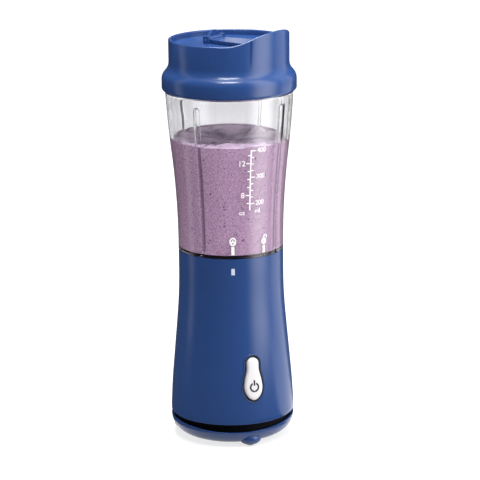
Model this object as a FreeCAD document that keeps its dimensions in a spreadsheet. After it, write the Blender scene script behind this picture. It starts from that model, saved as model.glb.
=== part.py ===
"""A single-serve electric blender: motor base, bayonet jar with its blade unit, screw-on drinking lid.

Millimetres, +Z up, the front (button side) faces -Y, and the origin is the middle of the footprint.
Every size is a cell of the sheet "sizes"; the objects read the cells through expressions.
"""
import FreeCAD, Part
import math
import os
import re

import Sketcher
from FreeCAD import Placement, Rotation, Vector

doc = FreeCAD.newDocument("personal_blender")

# ---------------------------------------------------------------- driving sizes

SIZES = {
    # clearances
    "seat_gap": 0.3, "press_gap": 0.05, "slide_gap": 0.3, "spin_gap": 0.15, "screw_gap": 0.1,
    # motor housing, top to bottom; a part is a share of the spread from the rim radius to the foot radius
    "housing_rim_z": 141, "housing_rim_r": 38.3, "housing_waist_z": 125,
    "housing_flare_z": 92, "flare_part": 0.2114, "housing_hip_z": 50, "hip_part": 0.7514,
    "housing_foot_z": 22, "housing_foot_r": 45.3, "housing_hem_z": 18.4, "housing_hem_round": 0.9,
    "housing_wall": 2.4,
    # inner ledge that carries the jar well above and the motor below
    "ledge_z": 115.6, "ledge_thick": 3, "ledge_wide": 11.3, "mount_boss_long": 4.1, "mount_boss_r": 4.4,
    # jar well and its bayonet
    "well_wall": 1.7, "well_floor": 2.4, "well_high": 20.9, "well_hole_r": 11,
    "lug_count": 4, "lug_half_angle": 12, "lug_overlap": 1.3,
    "well_lug_z": 130, "well_lug_high": 4, "jar_lug_high": 3.5, "skirt_gap": 2.3,
    "well_screw_inset": 6.8, "well_screw_count": 3, "screw_r": 1.6, "screw_head_r": 3.1,
    "screw_head_high": 2.2,
    # bottom cover, its wavy rim and its feet
    "cover_gap": 0.4, "cover_floor_z": 2.4, "cover_floor_inset": 10.5, "cover_curve_r": 14.156,
    "cover_side_z": 16, "cover_wall": 2, "rim_dip_z": 12.2, "rim_wave_rise": 3.4, "rim_wave_turn": -15,
    "foot_count": 3, "foot_inset": 9.6, "foot_r": 8.4, "foot_half_high": 5.3, "foot_lift": 0.2,
    "rim_round": 0.2, "lid_rim_round": 0.9,
    "pad_r": 2.6, "pad_sink": 1.2, "pad_proud": 0.7,
    "cover_screw_inset": 17.3, "cover_screw_count": 3, "cover_screw_angle": 90,
    "cover_boss_r": 4.8, "cover_boss_high": 4.4,
    # black vent ring in the gap between the housing and the cover
    "vent_inset": 3.7, "vent_wall": 1.8, "vent_floor_z": 12, "vent_floor": 2, "vent_step_z": 13.6,
    "vent_step": 0.6, "vent_skirt_z": 10.2, "vent_slot_count": 12,
    "vent_slot_in": 12, "vent_slot_wide": 3, "vent_post_r": 4,
    # motor: brackets, field core and coils
    "mount_inset": 8.3, "mount_thick": 2.5, "mount_r": 5.4, "mount_screw_r": 1.9,
    "arm_wide": 14, "bracket_thick": 3, "bolt_circle": 19.8, "bolt_r": 1.6,
    "post_r": 3.8, "upper_post": 18, "lower_post": 16, "bearing_r": 6.5, "bearing_long": 6,
    "bearing_boss_r": 9, "bearing_boss_long": 8,
    "core_long": 52, "core_wide": 46, "core_high": 28, "core_corner": 6, "core_bore_r": 15.2,
    "slot_in": 13.2, "slot_out": 18.8, "slot_near": 10.9, "slot_far": 16.3, "coil_gap": 0.15,
    "coil_end": 3.8,
    # brushes
    "holder_long": 15.5, "holder_wide": 9, "holder_high": 11.5, "brush_wide": 5, "brush_high": 5,
    "brush_long": 10.5, "brush_rise": 6, "brush_gap": 0.3,
    # rotor
    "shaft_r": 3, "armature_r": 14.7, "commutator_r": 10, "commutator_long": 12, "commutator_rise": 2,
    "armature_slot_count": 12, "armature_slot_wide": 1.6, "armature_slot_deep": 4,
    "winding_r": 12.9, "winding_high": 5, "winding_low": 1.6,
    "commutator_bar_count": 16, "commutator_slit": 0.5, "commutator_slit_deep": 0.8,
    "fan_r": 28, "fan_high": 7, "fan_plate": 1.5, "fan_hub_r": 6, "fan_drop": 2, "fan_blade_count": 11,
    "fan_blade_thick": 1.5, "shaft_tail": 2,
    # drive couplings
    "coupling_r": 9, "coupling_plate": 2, "coupling_lift": 0.4, "coupling_hub_r": 6.5,
    "coupling_hub_long": 8, "dog_count": 4, "dog_half_angle": 17, "dog_high": 3.6, "dog_in": 3.8,
    # jar, by rises above its seat: its foot follows the housing's rim, and its mouth follows the lid's ring
    "jar_foot_step": 0.05, "jar_mid_rise": 73.7, "jar_mid_part": 0.5414, "jar_top_rise": 115.7,
    "jar_top_inset": 2.5, "jar_neck_rise": 116.1, "jar_rim_rise": 128.3, "jar_neck_inset": 4.8,
    "jar_neck_wall": 1.9, "jar_neck_flare": 0.4, "jar_neck_blend": 8, "jar_wall": 2.3,
    "jar_cone_rise": 7, "jar_shoulder": 2.6,
    "jar_floor": 2.5, "jar_floor_drop": 7.3, "skirt_wall": 2.3,
    "rib_angle": 37, "rib_wide": 4.2, "rib_top_rise": 110.2, "rib_deep": 1.1, "inner_rib_wide": 6.4,
    "inner_rib_proud": 1.5,
    # thread between jar and lid: half a turn for each start
    "thread_starts": 2, "thread_lead": 9, "thread_rise": 4.5, "thread_low": 3.7, "thread_foot": 1.8, "thread_crest": 0.9,
    "jar_thread_deep": 1.4, "lid_thread_deep": 1.9, "thread_root": 0.4,
    # blade unit
    "hub_r": 10.8, "hub_flange_r": 14, "hub_flange": 2.6, "hub_gasket_thick": 0.8, "hub_tail": 4,
    "hub_nut_r": 14.5, "hub_nut_high": 3.4, "hub_dome_r": 8.6, "hub_dome_high": 6, "bushing_r": 5.5,
    "bushing_long": 9, "seal_r": 5.8, "seal_high": 2.2,
    "blade_gap": 1.2, "blade_thick": 1.2, "blade_long": 23, "blade_wide": 11, "blade_flat": 8,
    "blade_tip_wide": 3.5, "upper_tip_rise": 8, "lower_tip_rise": 3.4, "spacer_high": 2.4,
    "spacer_r": 5.5, "blade_nut_r": 5.4, "blade_nut_high": 4.4,
    # lid
    "lid_gap": 0.6, "ring_r": 48.7, "ring_edge": 1.7, "ring_high": 8.4,
    "shoulder_mid_inset": 2.4, "shoulder_mid_rise": 14.2, "shoulder_rise": 21, "lid_top_inset": 5.2,
    "lid_rim_rise": 37.3, "lid_wall": 2.2, "neck_gap": 0.5, "gasket_thick": 1.3, "gasket_overlap": 2.6,
    "flange_thick": 2, "flange_overlap": 0.9, "deck_sink": 4, "deck_thick": 2,
    "spout_rise": 9.7, "spout_start": 22, "spout_bend": 13, "spout_bend_rise": 4.1,
    "spout_angle": -56,
    "hole_inset": 13.5, "drink_hole_r": 5, "vent_hole_r": 1,
    # flip cap
    "hinge_out": -13, "hinge_rise": 2.9, "barrel_r": 2.3, "barrel_half": 8, "pin_r": 1, "pin_gap": 0.15,
    "ear_thick": 2, "ear_long": 4.6, "cap_thick": 2.2, "cap_root_half": 7.6, "cap_tip_half": 12,
    "cap_tip_inset": 10.5, "cap_end_inset": 7.5, "tab_high": 9, "tab_thick": 1.8, "plug_gap": 0.4,
    "plug_deep": 1.7,
    # button and switch
    "button_low_z": 36.7, "button_cheek_z": 39.2, "button_cheek": 4.3, "button_belly_z": 47.5,
    "button_belly": 6.7, "button_waist_z": 55.2, "button_waist": 5.2, "button_neck_z": 59.3,
    "button_neck": 4.3, "button_head_z": 63.8, "button_gap": 0.9, "button_proud": 2,
    "button_deep": 1.6, "button_travel": 2, "button_stem_r": 3, "button_stem_z": 54,
    "switch_wide": 14, "switch_deep": 11, "switch_high": 16, "switch_inset": 9.3, "rail_thick": 2,
    # cord inlet
    "inlet_z": 30, "inlet_r": 3.3, "grommet_r": 5.4, "grommet_lip_r": 7.2, "grommet_lip": 1.6,
    "grommet_in": 4.2,
}

sheet = doc.addObject("Spreadsheet::Sheet", "sizes")
for row, (alias, value) in enumerate(SIZES.items(), start=1):
    sheet.set(f"A{row}", alias)
    sheet.set(f"B{row}", str(value))
    sheet.setAlias(f"B{row}", alias)
doc.recompute()

# ---------------------------------------------------------------- small tools for building pieces

X, Y, Z = Vector(1, 0, 0), Vector(0, 1, 0), Vector(0, 0, 1)
pieces = []


def cells(text):
    """An expression that reads the sheet: every size name gets the sheet's name in front."""
    return re.sub(r"[a-z_]\w*", lambda word: "sizes." + word[0] if word[0] in SIZES else word[0], str(text))


def size(text):
    return float(sheet.evalExpression(cells(text).replace("sizes.", "")))


def bind(thing, **expressions):
    """Bind properties to sizes; a double underscore stands for the dot in a property's path."""
    for path, text in expressions.items():
        thing.setExpression(path.replace("__", "."), cells(text))
    return thing


def new_body(label):
    body = doc.addObject("PartDesign::Body", label)
    body.Label = label
    return body


def origin_part(body, role):
    return next(feature for feature in body.Origin.OriginFeatures if feature.Role == role)


def new_sketch(body, plane, lift="0", turn=None):
    """A sketch on an origin plane; turn swings it about its own upright, lift moves it along its normal."""
    sketch = body.newObject("Sketcher::SketchObject", body.Label + "_sketch")
    sketch.AttachmentSupport = [(origin_part(body, plane), "")]
    sketch.MapMode = "FlatFace"
    if turn is not None:
        sketch.AttachmentOffset = Placement(Vector(), Rotation(Y, 10))
        bind(sketch, AttachmentOffset__Rotation__Angle=turn)
        bind(sketch, AttachmentOffset__Base__x=f"({lift}) * sin({turn})",
             AttachmentOffset__Base__z=f"({lift}) * cos({turn})")
    elif lift != "0":
        bind(sketch, AttachmentOffset__Base__z=lift)
    return sketch


def arc_between(start, end, heading=None, radius=None):
    """The circle arc from start to end: tangent to a heading, or with a signed radius (+ turns left)."""
    chord = end - start
    if radius is None:
        side = heading.x * chord.y - heading.y * chord.x
        radius = chord.Length ** 2 / (2 * side)
        normal = Vector(-heading.y, heading.x, 0)
        centre = start + normal * radius
    else:
        middle = (start + end) * 0.5
        normal = Vector(-chord.y, chord.x, 0).normalize()
        reach = math.sqrt(max(radius ** 2 - (chord.Length / 2) ** 2, 0))
        centre = middle + normal * math.copysign(reach, radius)
    spoke = end - centre
    leaving = Vector(-spoke.y, spoke.x, 0).normalize() * math.copysign(1, radius)
    angles = [math.atan2(p.y - centre.y, p.x - centre.x) for p in (start, end)]
    if radius < 0:
        angles.reverse()
    if angles[1] <= angles[0]:
        angles[1] += 2 * math.pi
    arc = Part.ArcOfCircle(Part.Circle(centre, Z, abs(radius)), *angles)
    return arc, leaving, (1, 2) if radius > 0 else (2, 1)


def outline(sketch, corners):
    """A closed outline, fully constrained and bound to the sheet.

    A corner is (across, up), reached by a straight line, (across, up, "tangent"), reached by an arc
    that leaves the edge before it smoothly, or (across, up, radius), reached by an arc of that
    radius, which turns left where it is positive.
    """
    spots = [Vector(size(corner[0]), size(corner[1]), 0) for corner in corners]
    first = sketch.GeometryCount
    edges, ends, kinds = [], [], []
    heading = None
    for number in range(1, len(corners) + 1):
        corner = corners[number % len(corners)]
        start, end = spots[number - 1], spots[number % len(corners)]
        kind = corner[2] if len(corner) > 2 else "line"
        if kind == "line":
            edge, heading, order = Part.LineSegment(start, end), (end - start).normalize(), (1, 2)
        elif kind == "tangent":
            edge, heading, order = arc_between(start, end, heading=heading)
        else:
            edge, heading, order = arc_between(start, end, radius=size(kind))
        edges.append(edge)
        ends.append(order)
        kinds.append(kind)
    sketch.addGeometry(edges, False)
    count = len(edges)
    for number in range(count):
        after = (number + 1) % count
        joint = (first + number, ends[number][1], first + after, ends[after][0])
        word = "Tangent" if kinds[after] == "tangent" else "Coincident"
        sketch.addConstraint(Sketcher.Constraint(word, *joint))
    for number, corner in enumerate(corners):
        where = (first + number, ends[number][0])
        for word, axis, text in (("DistanceX", -2, corner[0]), ("DistanceY", -1, corner[1])):
            value = size(text)
            if str(text) == "0":
                sketch.addConstraint(Sketcher.Constraint("PointOnObject", *where, axis))
                continue
            place = sketch.addConstraint(Sketcher.Constraint(word, -1, 1, *where, value))
            sketch.setExpression(f"Constraints[{place}]", cells(text))
    for number, kind in enumerate(kinds):
        if kind in ("line", "tangent"):
            continue
        place = sketch.addConstraint(Sketcher.Constraint("Radius", first + number, abs(size(kind))))
        sketch.setExpression(f"Constraints[{place}]", cells(f"abs({kind})"))


def circle(sketch, across, up, radius):
    place = Vector(size(across), size(up), 0)
    edge = sketch.addGeometry(Part.Circle(place, Z, size(radius)), False)
    for word, axis, text in (("DistanceX", -2, across), ("DistanceY", -1, up)):
        if str(text) == "0":
            sketch.addConstraint(Sketcher.Constraint("PointOnObject", edge, 3, axis))
            continue
        spot = sketch.addConstraint(Sketcher.Constraint(word, -1, 1, edge, 3, size(text)))
        sketch.setExpression(f"Constraints[{spot}]", cells(text))
    spot = sketch.addConstraint(Sketcher.Constraint("Radius", edge, size(radius)))
    sketch.setExpression(f"Constraints[{spot}]", cells(radius))


def volume(body):
    doc.recompute()
    return body.Shape.Volume


def revolve(body, corners, kind="PartDesign::Revolution"):
    """Turn an outline of (radius, height) corners round the Z axis, to add or to cut."""
    sketch = new_sketch(body, "XZ_Plane")
    outline(sketch, corners)
    feature = body.newObject(kind, body.Label + "_turned")
    feature.Profile = sketch
    feature.ReferenceAxis = (sketch, ["V_Axis"])
    sketch.Visibility = False
    return feature


def raise_up(body, draw, low, high, copies=None):
    """Pad what draw puts in a level sketch, from height low to height high, round Z if copies is set."""
    sketch = new_sketch(body, "XY_Plane", lift=low)
    draw(sketch)
    pad = body.newObject("PartDesign::Pad", body.Label + "_pad")
    pad.Profile = sketch
    bind(pad, Length=f"({high}) - ({low})")
    return spread(body, pad, copies)


def sink(body, draw, low, high, copies=None):
    """Cut what draw puts in a level sketch out of the body, from height high down to height low."""
    before = volume(body)
    sketch = new_sketch(body, "XY_Plane", lift=high)
    draw(sketch)
    pocket = body.newObject("PartDesign::Pocket", body.Label + "_pocket")
    pocket.Profile = sketch
    bind(pocket, Length=f"({high}) - ({low})")
    feature = spread(body, pocket, copies)
    if volume(body) >= before:
        raise ValueError(f"a pocket of {body.Label} cuts nothing")
    return feature


def spread(body, feature, copies):
    """Repeat a feature evenly round the Z axis."""
    if copies is None:
        return feature
    doc.recompute()
    pattern = body.newObject("PartDesign::PolarPattern", body.Label + "_round")
    pattern.Originals = [feature]
    pattern.Axis = (origin_part(body, "Z_Axis"), [""])
    pattern.Angle = 360
    bind(pattern, Occurrences=copies)
    body.Tip = pattern
    return pattern


def round_off(body, radius, pick):
    """Round the edges of the body that pick chooses."""
    doc.recompute()
    chosen = [f"Edge{number}" for number, edge in enumerate(body.Shape.Edges, start=1) if pick(edge)]
    fillet = body.newObject("PartDesign::Fillet", body.Label + "_round")
    fillet.Base = (body.Group[-2], chosen)
    return bind(fillet, Radius=radius)


def across(body, draw, plane, reach, kind="PartDesign::Pad", turn=None, lift="0"):
    """Pad or pocket an upright sketch to both sides of its plane."""
    before = volume(body) if kind == "PartDesign::Pocket" else math.inf
    sketch = new_sketch(body, plane, lift, turn)
    draw(sketch)
    feature = body.newObject(kind, body.Label + "_across")
    feature.Profile = sketch
    feature.Midplane = True
    bind(feature, Length=f"2 * ({reach})")
    if kind == "PartDesign::Pocket" and volume(body) >= before:
        raise ValueError(f"a pocket of {body.Label} cuts nothing")
    return feature


def tube(label, outer, inner, low, high):
    body = new_body(label)
    revolve(body, [(inner, low), (outer, low), (outer, high), (inner, high)])
    return body


def rod(name, at, radius, long, lying=None):
    """A cylinder that starts at a spot (x, y, z) and runs up, or along the axis it is lying on."""
    cylinder = doc.addObject("Part::Cylinder", name)
    if lying is not None:
        cylinder.Placement = Placement(Vector(), Rotation(Z, lying))
    bind(cylinder, Radius=radius, Height=long)
    bind(cylinder, Placement__Base__x=at[0], Placement__Base__y=at[1], Placement__Base__z=at[2])
    return cylinder


def block(name, at, spans):
    """A box centred across x and y on a spot, standing on its height."""
    box = doc.addObject("Part::Box", name)
    bind(box, Length=spans[0], Width=spans[1], Height=spans[2])
    bind(box, Placement__Base__x=f"({at[0]}) - ({spans[0]}) / 2",
         Placement__Base__y=f"({at[1]}) - ({spans[1]}) / 2", Placement__Base__z=at[2])
    return box


def fused(name, parts):
    fuse = doc.addObject("Part::MultiFuse", name)
    fuse.Shapes = parts
    return fuse


def carved(name, base, tool):
    cut = doc.addObject("Part::Cut", name)
    cut.Base, cut.Tool = base, tool
    return cut


def shared(name, one, other):
    common = doc.addObject("Part::Common", name)
    common.Base, common.Tool = one, other
    return common


def grouped(name, parts):
    group = doc.addObject("Part::Compound", name)
    group.Links = parts
    return group


def keep(piece, label):
    piece.Label = label
    pieces.append(piece)
    return piece


def ring_sector(inner, outer, half_angle, middle=0):
    """Corners of a ring's sector, counter-clockwise from its inner start."""
    low, high = f"({middle} - ({half_angle}))", f"({middle} + ({half_angle}))"
    return [(f"({inner}) * cos({low})", f"({inner}) * sin({low})", f"0 - ({inner})"),
            (f"({outer}) * cos({low})", f"({outer}) * sin({low})"),
            (f"({outer}) * cos({high})", f"({outer}) * sin({high})", outer),
            (f"({inner}) * cos({high})", f"({inner}) * sin({high})")]


def polar(circle_r, angle):
    return f"({circle_r}) * cos({angle})", f"({circle_r}) * sin({angle})"


def screws(label, spots, head_z, head_high, head_r, shank_r, shank_high):
    """Pan-head screws seen as a head below and a shank above it, one solid each."""
    made = []
    for number, (x, y) in enumerate(spots):
        head = rod(f"{label}_head_{number}", (x, y, head_z), head_r, head_high)
        shank = rod(f"{label}_shank_{number}", (x, y, f"{head_z} + {head_high}"), shank_r, shank_high)
        made.append(fused(f"{label}_{number}", [head, shank]))
    return keep(grouped(label, made), label)


# ---------------------------------------------------------------- radii and heights that several pieces share

SPREAD = "(housing_foot_r - housing_rim_r)"
FLARE_R = f"(housing_rim_r + flare_part * {SPREAD})"
HIP_R = f"(housing_rim_r + hip_part * {SPREAD})"
MOUNT_CIRCLE = "(housing_rim_r - mount_inset)"
WELL_SCREW_CIRCLE = "(housing_rim_r - well_screw_inset)"
COVER_SCREW_CIRCLE = "(housing_foot_r - cover_screw_inset)"
FOOT_CIRCLE = "(housing_foot_r - foot_inset)"
VENT_R = "(housing_foot_r - vent_inset)"
SWITCH_FRONT = "(switch_inset - housing_foot_r)"
JAR_FOOT_R = "(housing_rim_r + jar_foot_step)"
JAR_HEEL_R = "(housing_rim_r - jar_wall)"
JAR_TOP_R = "(ring_r - jar_top_inset)"
JAR_MID_R = f"({JAR_FOOT_R} + jar_mid_part * ({JAR_TOP_R} - {JAR_FOOT_R}))"
NECK_R = "(ring_r - jar_neck_inset)"
NECK_IN_R = f"({NECK_R} - jar_neck_wall)"
RING_IN_R = "(ring_r - lid_wall)"
LID_TOP_R = "(ring_r - lid_top_inset)"
GASKET_IN_R = f"({NECK_IN_R} - gasket_overlap)"
HOLE_OUT = f"({LID_TOP_R} - hole_inset)"
LEDGE_TOP = "(ledge_z + ledge_thick)"
WELL_FLOOR = f"({LEDGE_TOP} + well_floor)"
WELL_IN_R = "(housing_rim_r - housing_wall - screw_gap - well_wall)"
SKIRT_R = "(housing_rim_r - housing_wall - screw_gap - well_wall - skirt_gap)"
JAR_SEAT = "(housing_rim_z + seat_gap)"
JAR_FLOOR = f"({JAR_SEAT} - jar_floor_drop)"
JAR_FLOOR_TOP = f"({JAR_FLOOR} + jar_floor)"
JAR_RIM = f"({JAR_SEAT} + jar_rim_rise)"
LID_BASE = f"({JAR_SEAT} + jar_neck_rise + lid_gap)"
GASKET_LOW = f"({JAR_RIM} + seat_gap)"
FLANGE_LOW = f"({GASKET_LOW} + gasket_thick)"
LID_RIM = f"({LID_BASE} + lid_rim_rise)"
DECK_TOP = f"({LID_RIM} - deck_sink)"
DECK_LOW = f"({DECK_TOP} - deck_thick)"
UPPER_TOP = "(ledge_z - mount_boss_long - mount_thick)"
UPPER_LOW = f"({UPPER_TOP} - bracket_thick)"
CORE_TOP = f"({UPPER_LOW} - upper_post)"
CORE_LOW = f"({CORE_TOP} - core_high)"
LOWER_TOP = f"({CORE_LOW} - lower_post)"
LOWER_LOW = f"({LOWER_TOP} - bracket_thick)"
BOSS_LOW = f"({LOWER_TOP} - bearing_boss_long)"
FAN_TOP = f"({BOSS_LOW} - fan_drop)"
FAN_LOW = f"({FAN_TOP} - fan_high)"
DRIVE_PLATE = f"({WELL_FLOOR} + coupling_lift)"
DRIVE_TOP = f"({DRIVE_PLATE} + coupling_plate)"
DRIVEN_LOW = f"({DRIVE_TOP} + seat_gap)"
DRIVEN_PLATE = f"({DRIVEN_LOW} + dog_high + seat_gap)"
DRIVEN_TOP = f"({DRIVEN_PLATE} + coupling_plate)"
SHAFT_HOLE = "(shaft_r + spin_gap)"

# ---------------------------------------------------------------- motor base: shells


def housing_side(extra="0"):
    """The outer line of the housing from its rim down to its hem, moved outwards by extra."""
    return [(f"housing_rim_r + {extra}", "housing_rim_z"),
            (f"housing_rim_r + {extra}", "housing_waist_z"),
            (f"{FLARE_R} + {extra}", "housing_flare_z", "tangent"),
            (f"{HIP_R} + {extra}", "housing_hip_z"),
            (f"housing_foot_r + {extra}", "housing_foot_z", "tangent")]


def button_line(grow="0"):
    """The button's face outline, moved outwards by grow: a round head on a wider pear-shaped belly."""
    right = [(f"button_cheek + 0.6 * {grow}", f"button_cheek_z - 0.8 * {grow}"),
             (f"button_belly + {grow}", "button_belly_z"),
             (f"button_waist + {grow}", f"button_waist_z + 0.3 * {grow}"),
             (f"button_neck + {grow}", f"button_neck_z + 0.3 * {grow}"),
             (f"button_neck + {grow}", "button_head_z")]
    left = [(f"0 - ({x})", z) for x, z in reversed(right)]
    low = ("0", f"button_low_z - {grow}", f"button_belly + {grow}")
    top = ("0", f"button_head_z + button_neck + {grow}", "tangent")
    steps = [right[0] + (f"button_belly + {grow}",)] + [spot + ("tangent",) for spot in right[1:4]]
    back = [left[0] + ("tangent",), left[1]] + [spot + ("tangent",) for spot in left[2:5]]
    return [low] + steps + [right[4], top] + back


shell = new_body("housing_shell")
hem_in = "housing_foot_r - housing_wall"
revolve(shell, [
    *housing_side(),
    ("housing_foot_r", "housing_hem_z + housing_hem_round"),
    ("housing_foot_r - housing_hem_round", "housing_hem_z", "tangent"),
    (hem_in, "housing_hem_z"),
    (hem_in, "housing_foot_z"),
    (f"{HIP_R} - housing_wall", "housing_hip_z"),
    (f"{FLARE_R} - housing_wall", "housing_flare_z"),
    ("housing_rim_r - housing_wall", "housing_waist_z"),
    ("housing_rim_r - housing_wall", "housing_rim_z"),
])
revolve(shell, [
    ("housing_rim_r - ledge_wide", "ledge_z"), ("housing_rim_r - housing_wall / 2", "ledge_z"),
    ("housing_rim_r - housing_wall / 2", LEDGE_TOP), ("housing_rim_r - ledge_wide", LEDGE_TOP)])
mount_spots = [(MOUNT_CIRCLE, "0"), (f"0 - {MOUNT_CIRCLE}", "0")]
raise_up(shell, lambda s: [circle(s, x, y, "mount_boss_r") for x, y in mount_spots],
         "ledge_z - mount_boss_long", "ledge_z + ledge_thick / 2")
sink(shell, lambda s: [circle(s, x, y, "mount_screw_r + screw_gap") for x, y in mount_spots],
     "ledge_z - mount_boss_long", LEDGE_TOP)
sink(shell, lambda s: circle(s, "0", WELL_SCREW_CIRCLE, "screw_r + screw_gap"),
     "ledge_z", LEDGE_TOP, "well_screw_count")
rail_x = "(switch_wide / 2 + slide_gap + rail_thick / 2)"
SWITCH_LOW = "(button_stem_z - switch_high / 2)"


def rail_lines(sketch):
    """Two upright rails that hold the switch behind the button."""
    for side in ("", "0 - "):
        near, far = f"{side}({rail_x} - rail_thick / 2)", f"{side}({rail_x} + rail_thick / 2)"
        front, back = f"housing_wall - {HIP_R}", f"{SWITCH_FRONT} + switch_deep"
        outline(sketch, [(near, front), (far, front), (far, back), (near, back)])


raise_up(shell, rail_lines, SWITCH_LOW, f"{SWITCH_LOW} + switch_high")

hole = new_body("button_hole")
across(hole, lambda s: outline(s, button_line("button_gap")), "XZ_Plane", "housing_foot_r * 1.2")
front_half = block("front_half", ("0", "0 - housing_foot_r", "0"),
                   ("2 * housing_foot_r", "housing_foot_r", "housing_rim_z"))
inlet_hole = rod("inlet_hole", ("0", "housing_foot_r / 2", "inlet_z"), "grommet_r + press_gap",
                 "housing_foot_r", lying=Y)
windows = fused("windows", [shared("button_window", hole, front_half), inlet_hole])
keep(carved("base_housing", shell, windows), "base_housing")

COVER_RIM = "(housing_hem_z - cover_gap)"


WAVE_R = "((housing_foot_r ^ 2 + rim_wave_rise ^ 2) / (2 * rim_wave_rise))"
WAVE_FAR = "(housing_foot_r * 1.1)"
WAVE_END = f"(rim_dip_z + {WAVE_R} - sqrt({WAVE_R} ^ 2 - {WAVE_FAR} ^ 2))"


def rim_wave(spot):
    """Height of the cover's wavy rim above a spot, from its distance to the side of the dips."""
    aside = size(f"{spot.x} * cos(rim_wave_turn) + {spot.y} * sin(rim_wave_turn)")
    return size(f"rim_dip_z + {WAVE_R}") - math.sqrt(size(WAVE_R) ** 2 - aside ** 2)


cover = new_body("bottom_cover")
cover_in = "housing_foot_r - cover_wall"
COVER_FLOOR_R = "(housing_foot_r - cover_floor_inset)"
revolve(cover, [
    ("0", "cover_floor_z + cover_wall"), ("0", "cover_floor_z"), (COVER_FLOOR_R, "cover_floor_z"),
    ("housing_foot_r", "cover_side_z", "cover_curve_r"), ("housing_foot_r", COVER_RIM),
    (cover_in, COVER_RIM), (cover_in, "cover_side_z"),
    (f"{COVER_FLOOR_R} - cover_wall / 2", "cover_floor_z + cover_wall", "cover_wall - cover_curve_r"),
])
across(cover, lambda s: outline(s, [
    (f"0 - {WAVE_FAR}", "2 * housing_hem_z"), (f"0 - {WAVE_FAR}", WAVE_END),
    (WAVE_FAR, WAVE_END, WAVE_R), (WAVE_FAR, "2 * housing_hem_z")]),
    "XZ_Plane", "housing_foot_r * 1.2", "PartDesign::Pocket", turn="rim_wave_turn")
round_off(cover, "rim_round", lambda edge: edge.BoundBox.ZMin > size("rim_dip_z") - 0.1 and any(
    abs(rim_wave(point) - point.z) < 0.01 for point in edge.discretize(5)[1:4]))
cover_screw_spots = [polar(COVER_SCREW_CIRCLE, f"cover_screw_angle + {number} * 360 / cover_screw_count")
                     for number in range(SIZES["cover_screw_count"])]
raise_up(cover, lambda s: [circle(s, x, y, "cover_boss_r") for x, y in cover_screw_spots],
         "cover_floor_z", "cover_floor_z + cover_wall + cover_boss_high")
sink(cover, lambda s: [circle(s, x, y, "screw_head_r + screw_gap") for x, y in cover_screw_spots],
     "cover_floor_z", "cover_floor_z + cover_wall")
sink(cover, lambda s: [circle(s, x, y, "screw_r + screw_gap") for x, y in cover_screw_spots],
     "cover_floor_z", "cover_floor_z + cover_wall + cover_boss_high")
foot = cover.newObject("PartDesign::AdditiveEllipsoid", "foot")
foot.AttachmentSupport = [(origin_part(cover, "XY_Plane"), "")]
foot.MapMode = "FlatFace"
bind(foot, Radius1="foot_half_high", Radius2="foot_r", Radius3="foot_r",
     AttachmentOffset__Base__y=f"0 - {FOOT_CIRCLE}", AttachmentOffset__Base__z="foot_half_high + foot_lift")
spread(cover, foot, "foot_count")
sink(cover, lambda s: circle(s, "0", f"0 - {FOOT_CIRCLE}", "pad_r + press_gap"),
     "0", "pad_proud + pad_sink", "foot_count")
keep(cover, "bottom_cover")

pads = [rod(f"pad_{number}", (*polar(FOOT_CIRCLE, f"{number} * 360 / foot_count - 90"), "0"), "pad_r",
            "pad_proud + pad_sink - press_gap") for number in range(SIZES["foot_count"])]
keep(grouped("foot_pads", pads), "foot_pads")

VENT_FLOOR_TOP = "(vent_floor_z + vent_floor)"
vent = new_body("vent_ring")
vent_in, vent_out = f"({VENT_R} - vent_wall)", "(housing_foot_r - housing_wall - press_gap)"
revolve(vent, [
    ("vent_slot_in / 2", "vent_floor_z"), (vent_in, "vent_floor_z"),
    (vent_in, "vent_skirt_z"), (VENT_R, "vent_skirt_z"), (VENT_R, "vent_step_z"),
    (f"{VENT_R} + vent_step", "vent_step_z"), (f"{VENT_R} + vent_step", "housing_hem_z + press_gap"),
    (vent_out, "housing_hem_z + 2 * vent_step"), (vent_out, "housing_foot_z"),
    (f"{vent_out} - vent_wall", "housing_foot_z"), (f"{vent_out} - vent_wall", "housing_hem_z + 3 * vent_step"),
    (vent_in, "housing_hem_z"), (vent_in, VENT_FLOOR_TOP),
    ("vent_slot_in / 2", VENT_FLOOR_TOP)])
sink(vent, lambda s: outline(s, ring_sector("vent_slot_in", f"{COVER_SCREW_CIRCLE} - vent_post_r", "vent_slot_wide * 2")),
     "vent_floor_z", VENT_FLOOR_TOP, "vent_slot_count")
COVER_BOSS_TOP = "(cover_floor_z + cover_wall + cover_boss_high)"
raise_up(vent, lambda s: [circle(s, x, y, "vent_post_r") for x, y in cover_screw_spots],
         f"{COVER_BOSS_TOP} + press_gap", VENT_FLOOR_TOP)
sink(vent, lambda s: [circle(s, x, y, "screw_r + press_gap") for x, y in cover_screw_spots],
     f"{COVER_BOSS_TOP} + press_gap", VENT_FLOOR_TOP)
keep(vent, "vent_ring")
HEAD_SEAT = "(cover_floor_z + cover_wall - screw_head_high)"
screws("cover_screws", cover_screw_spots, HEAD_SEAT, "screw_head_high", "screw_head_r", "screw_r",
       f"{VENT_FLOOR_TOP} - cover_floor_z - cover_wall")

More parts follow.
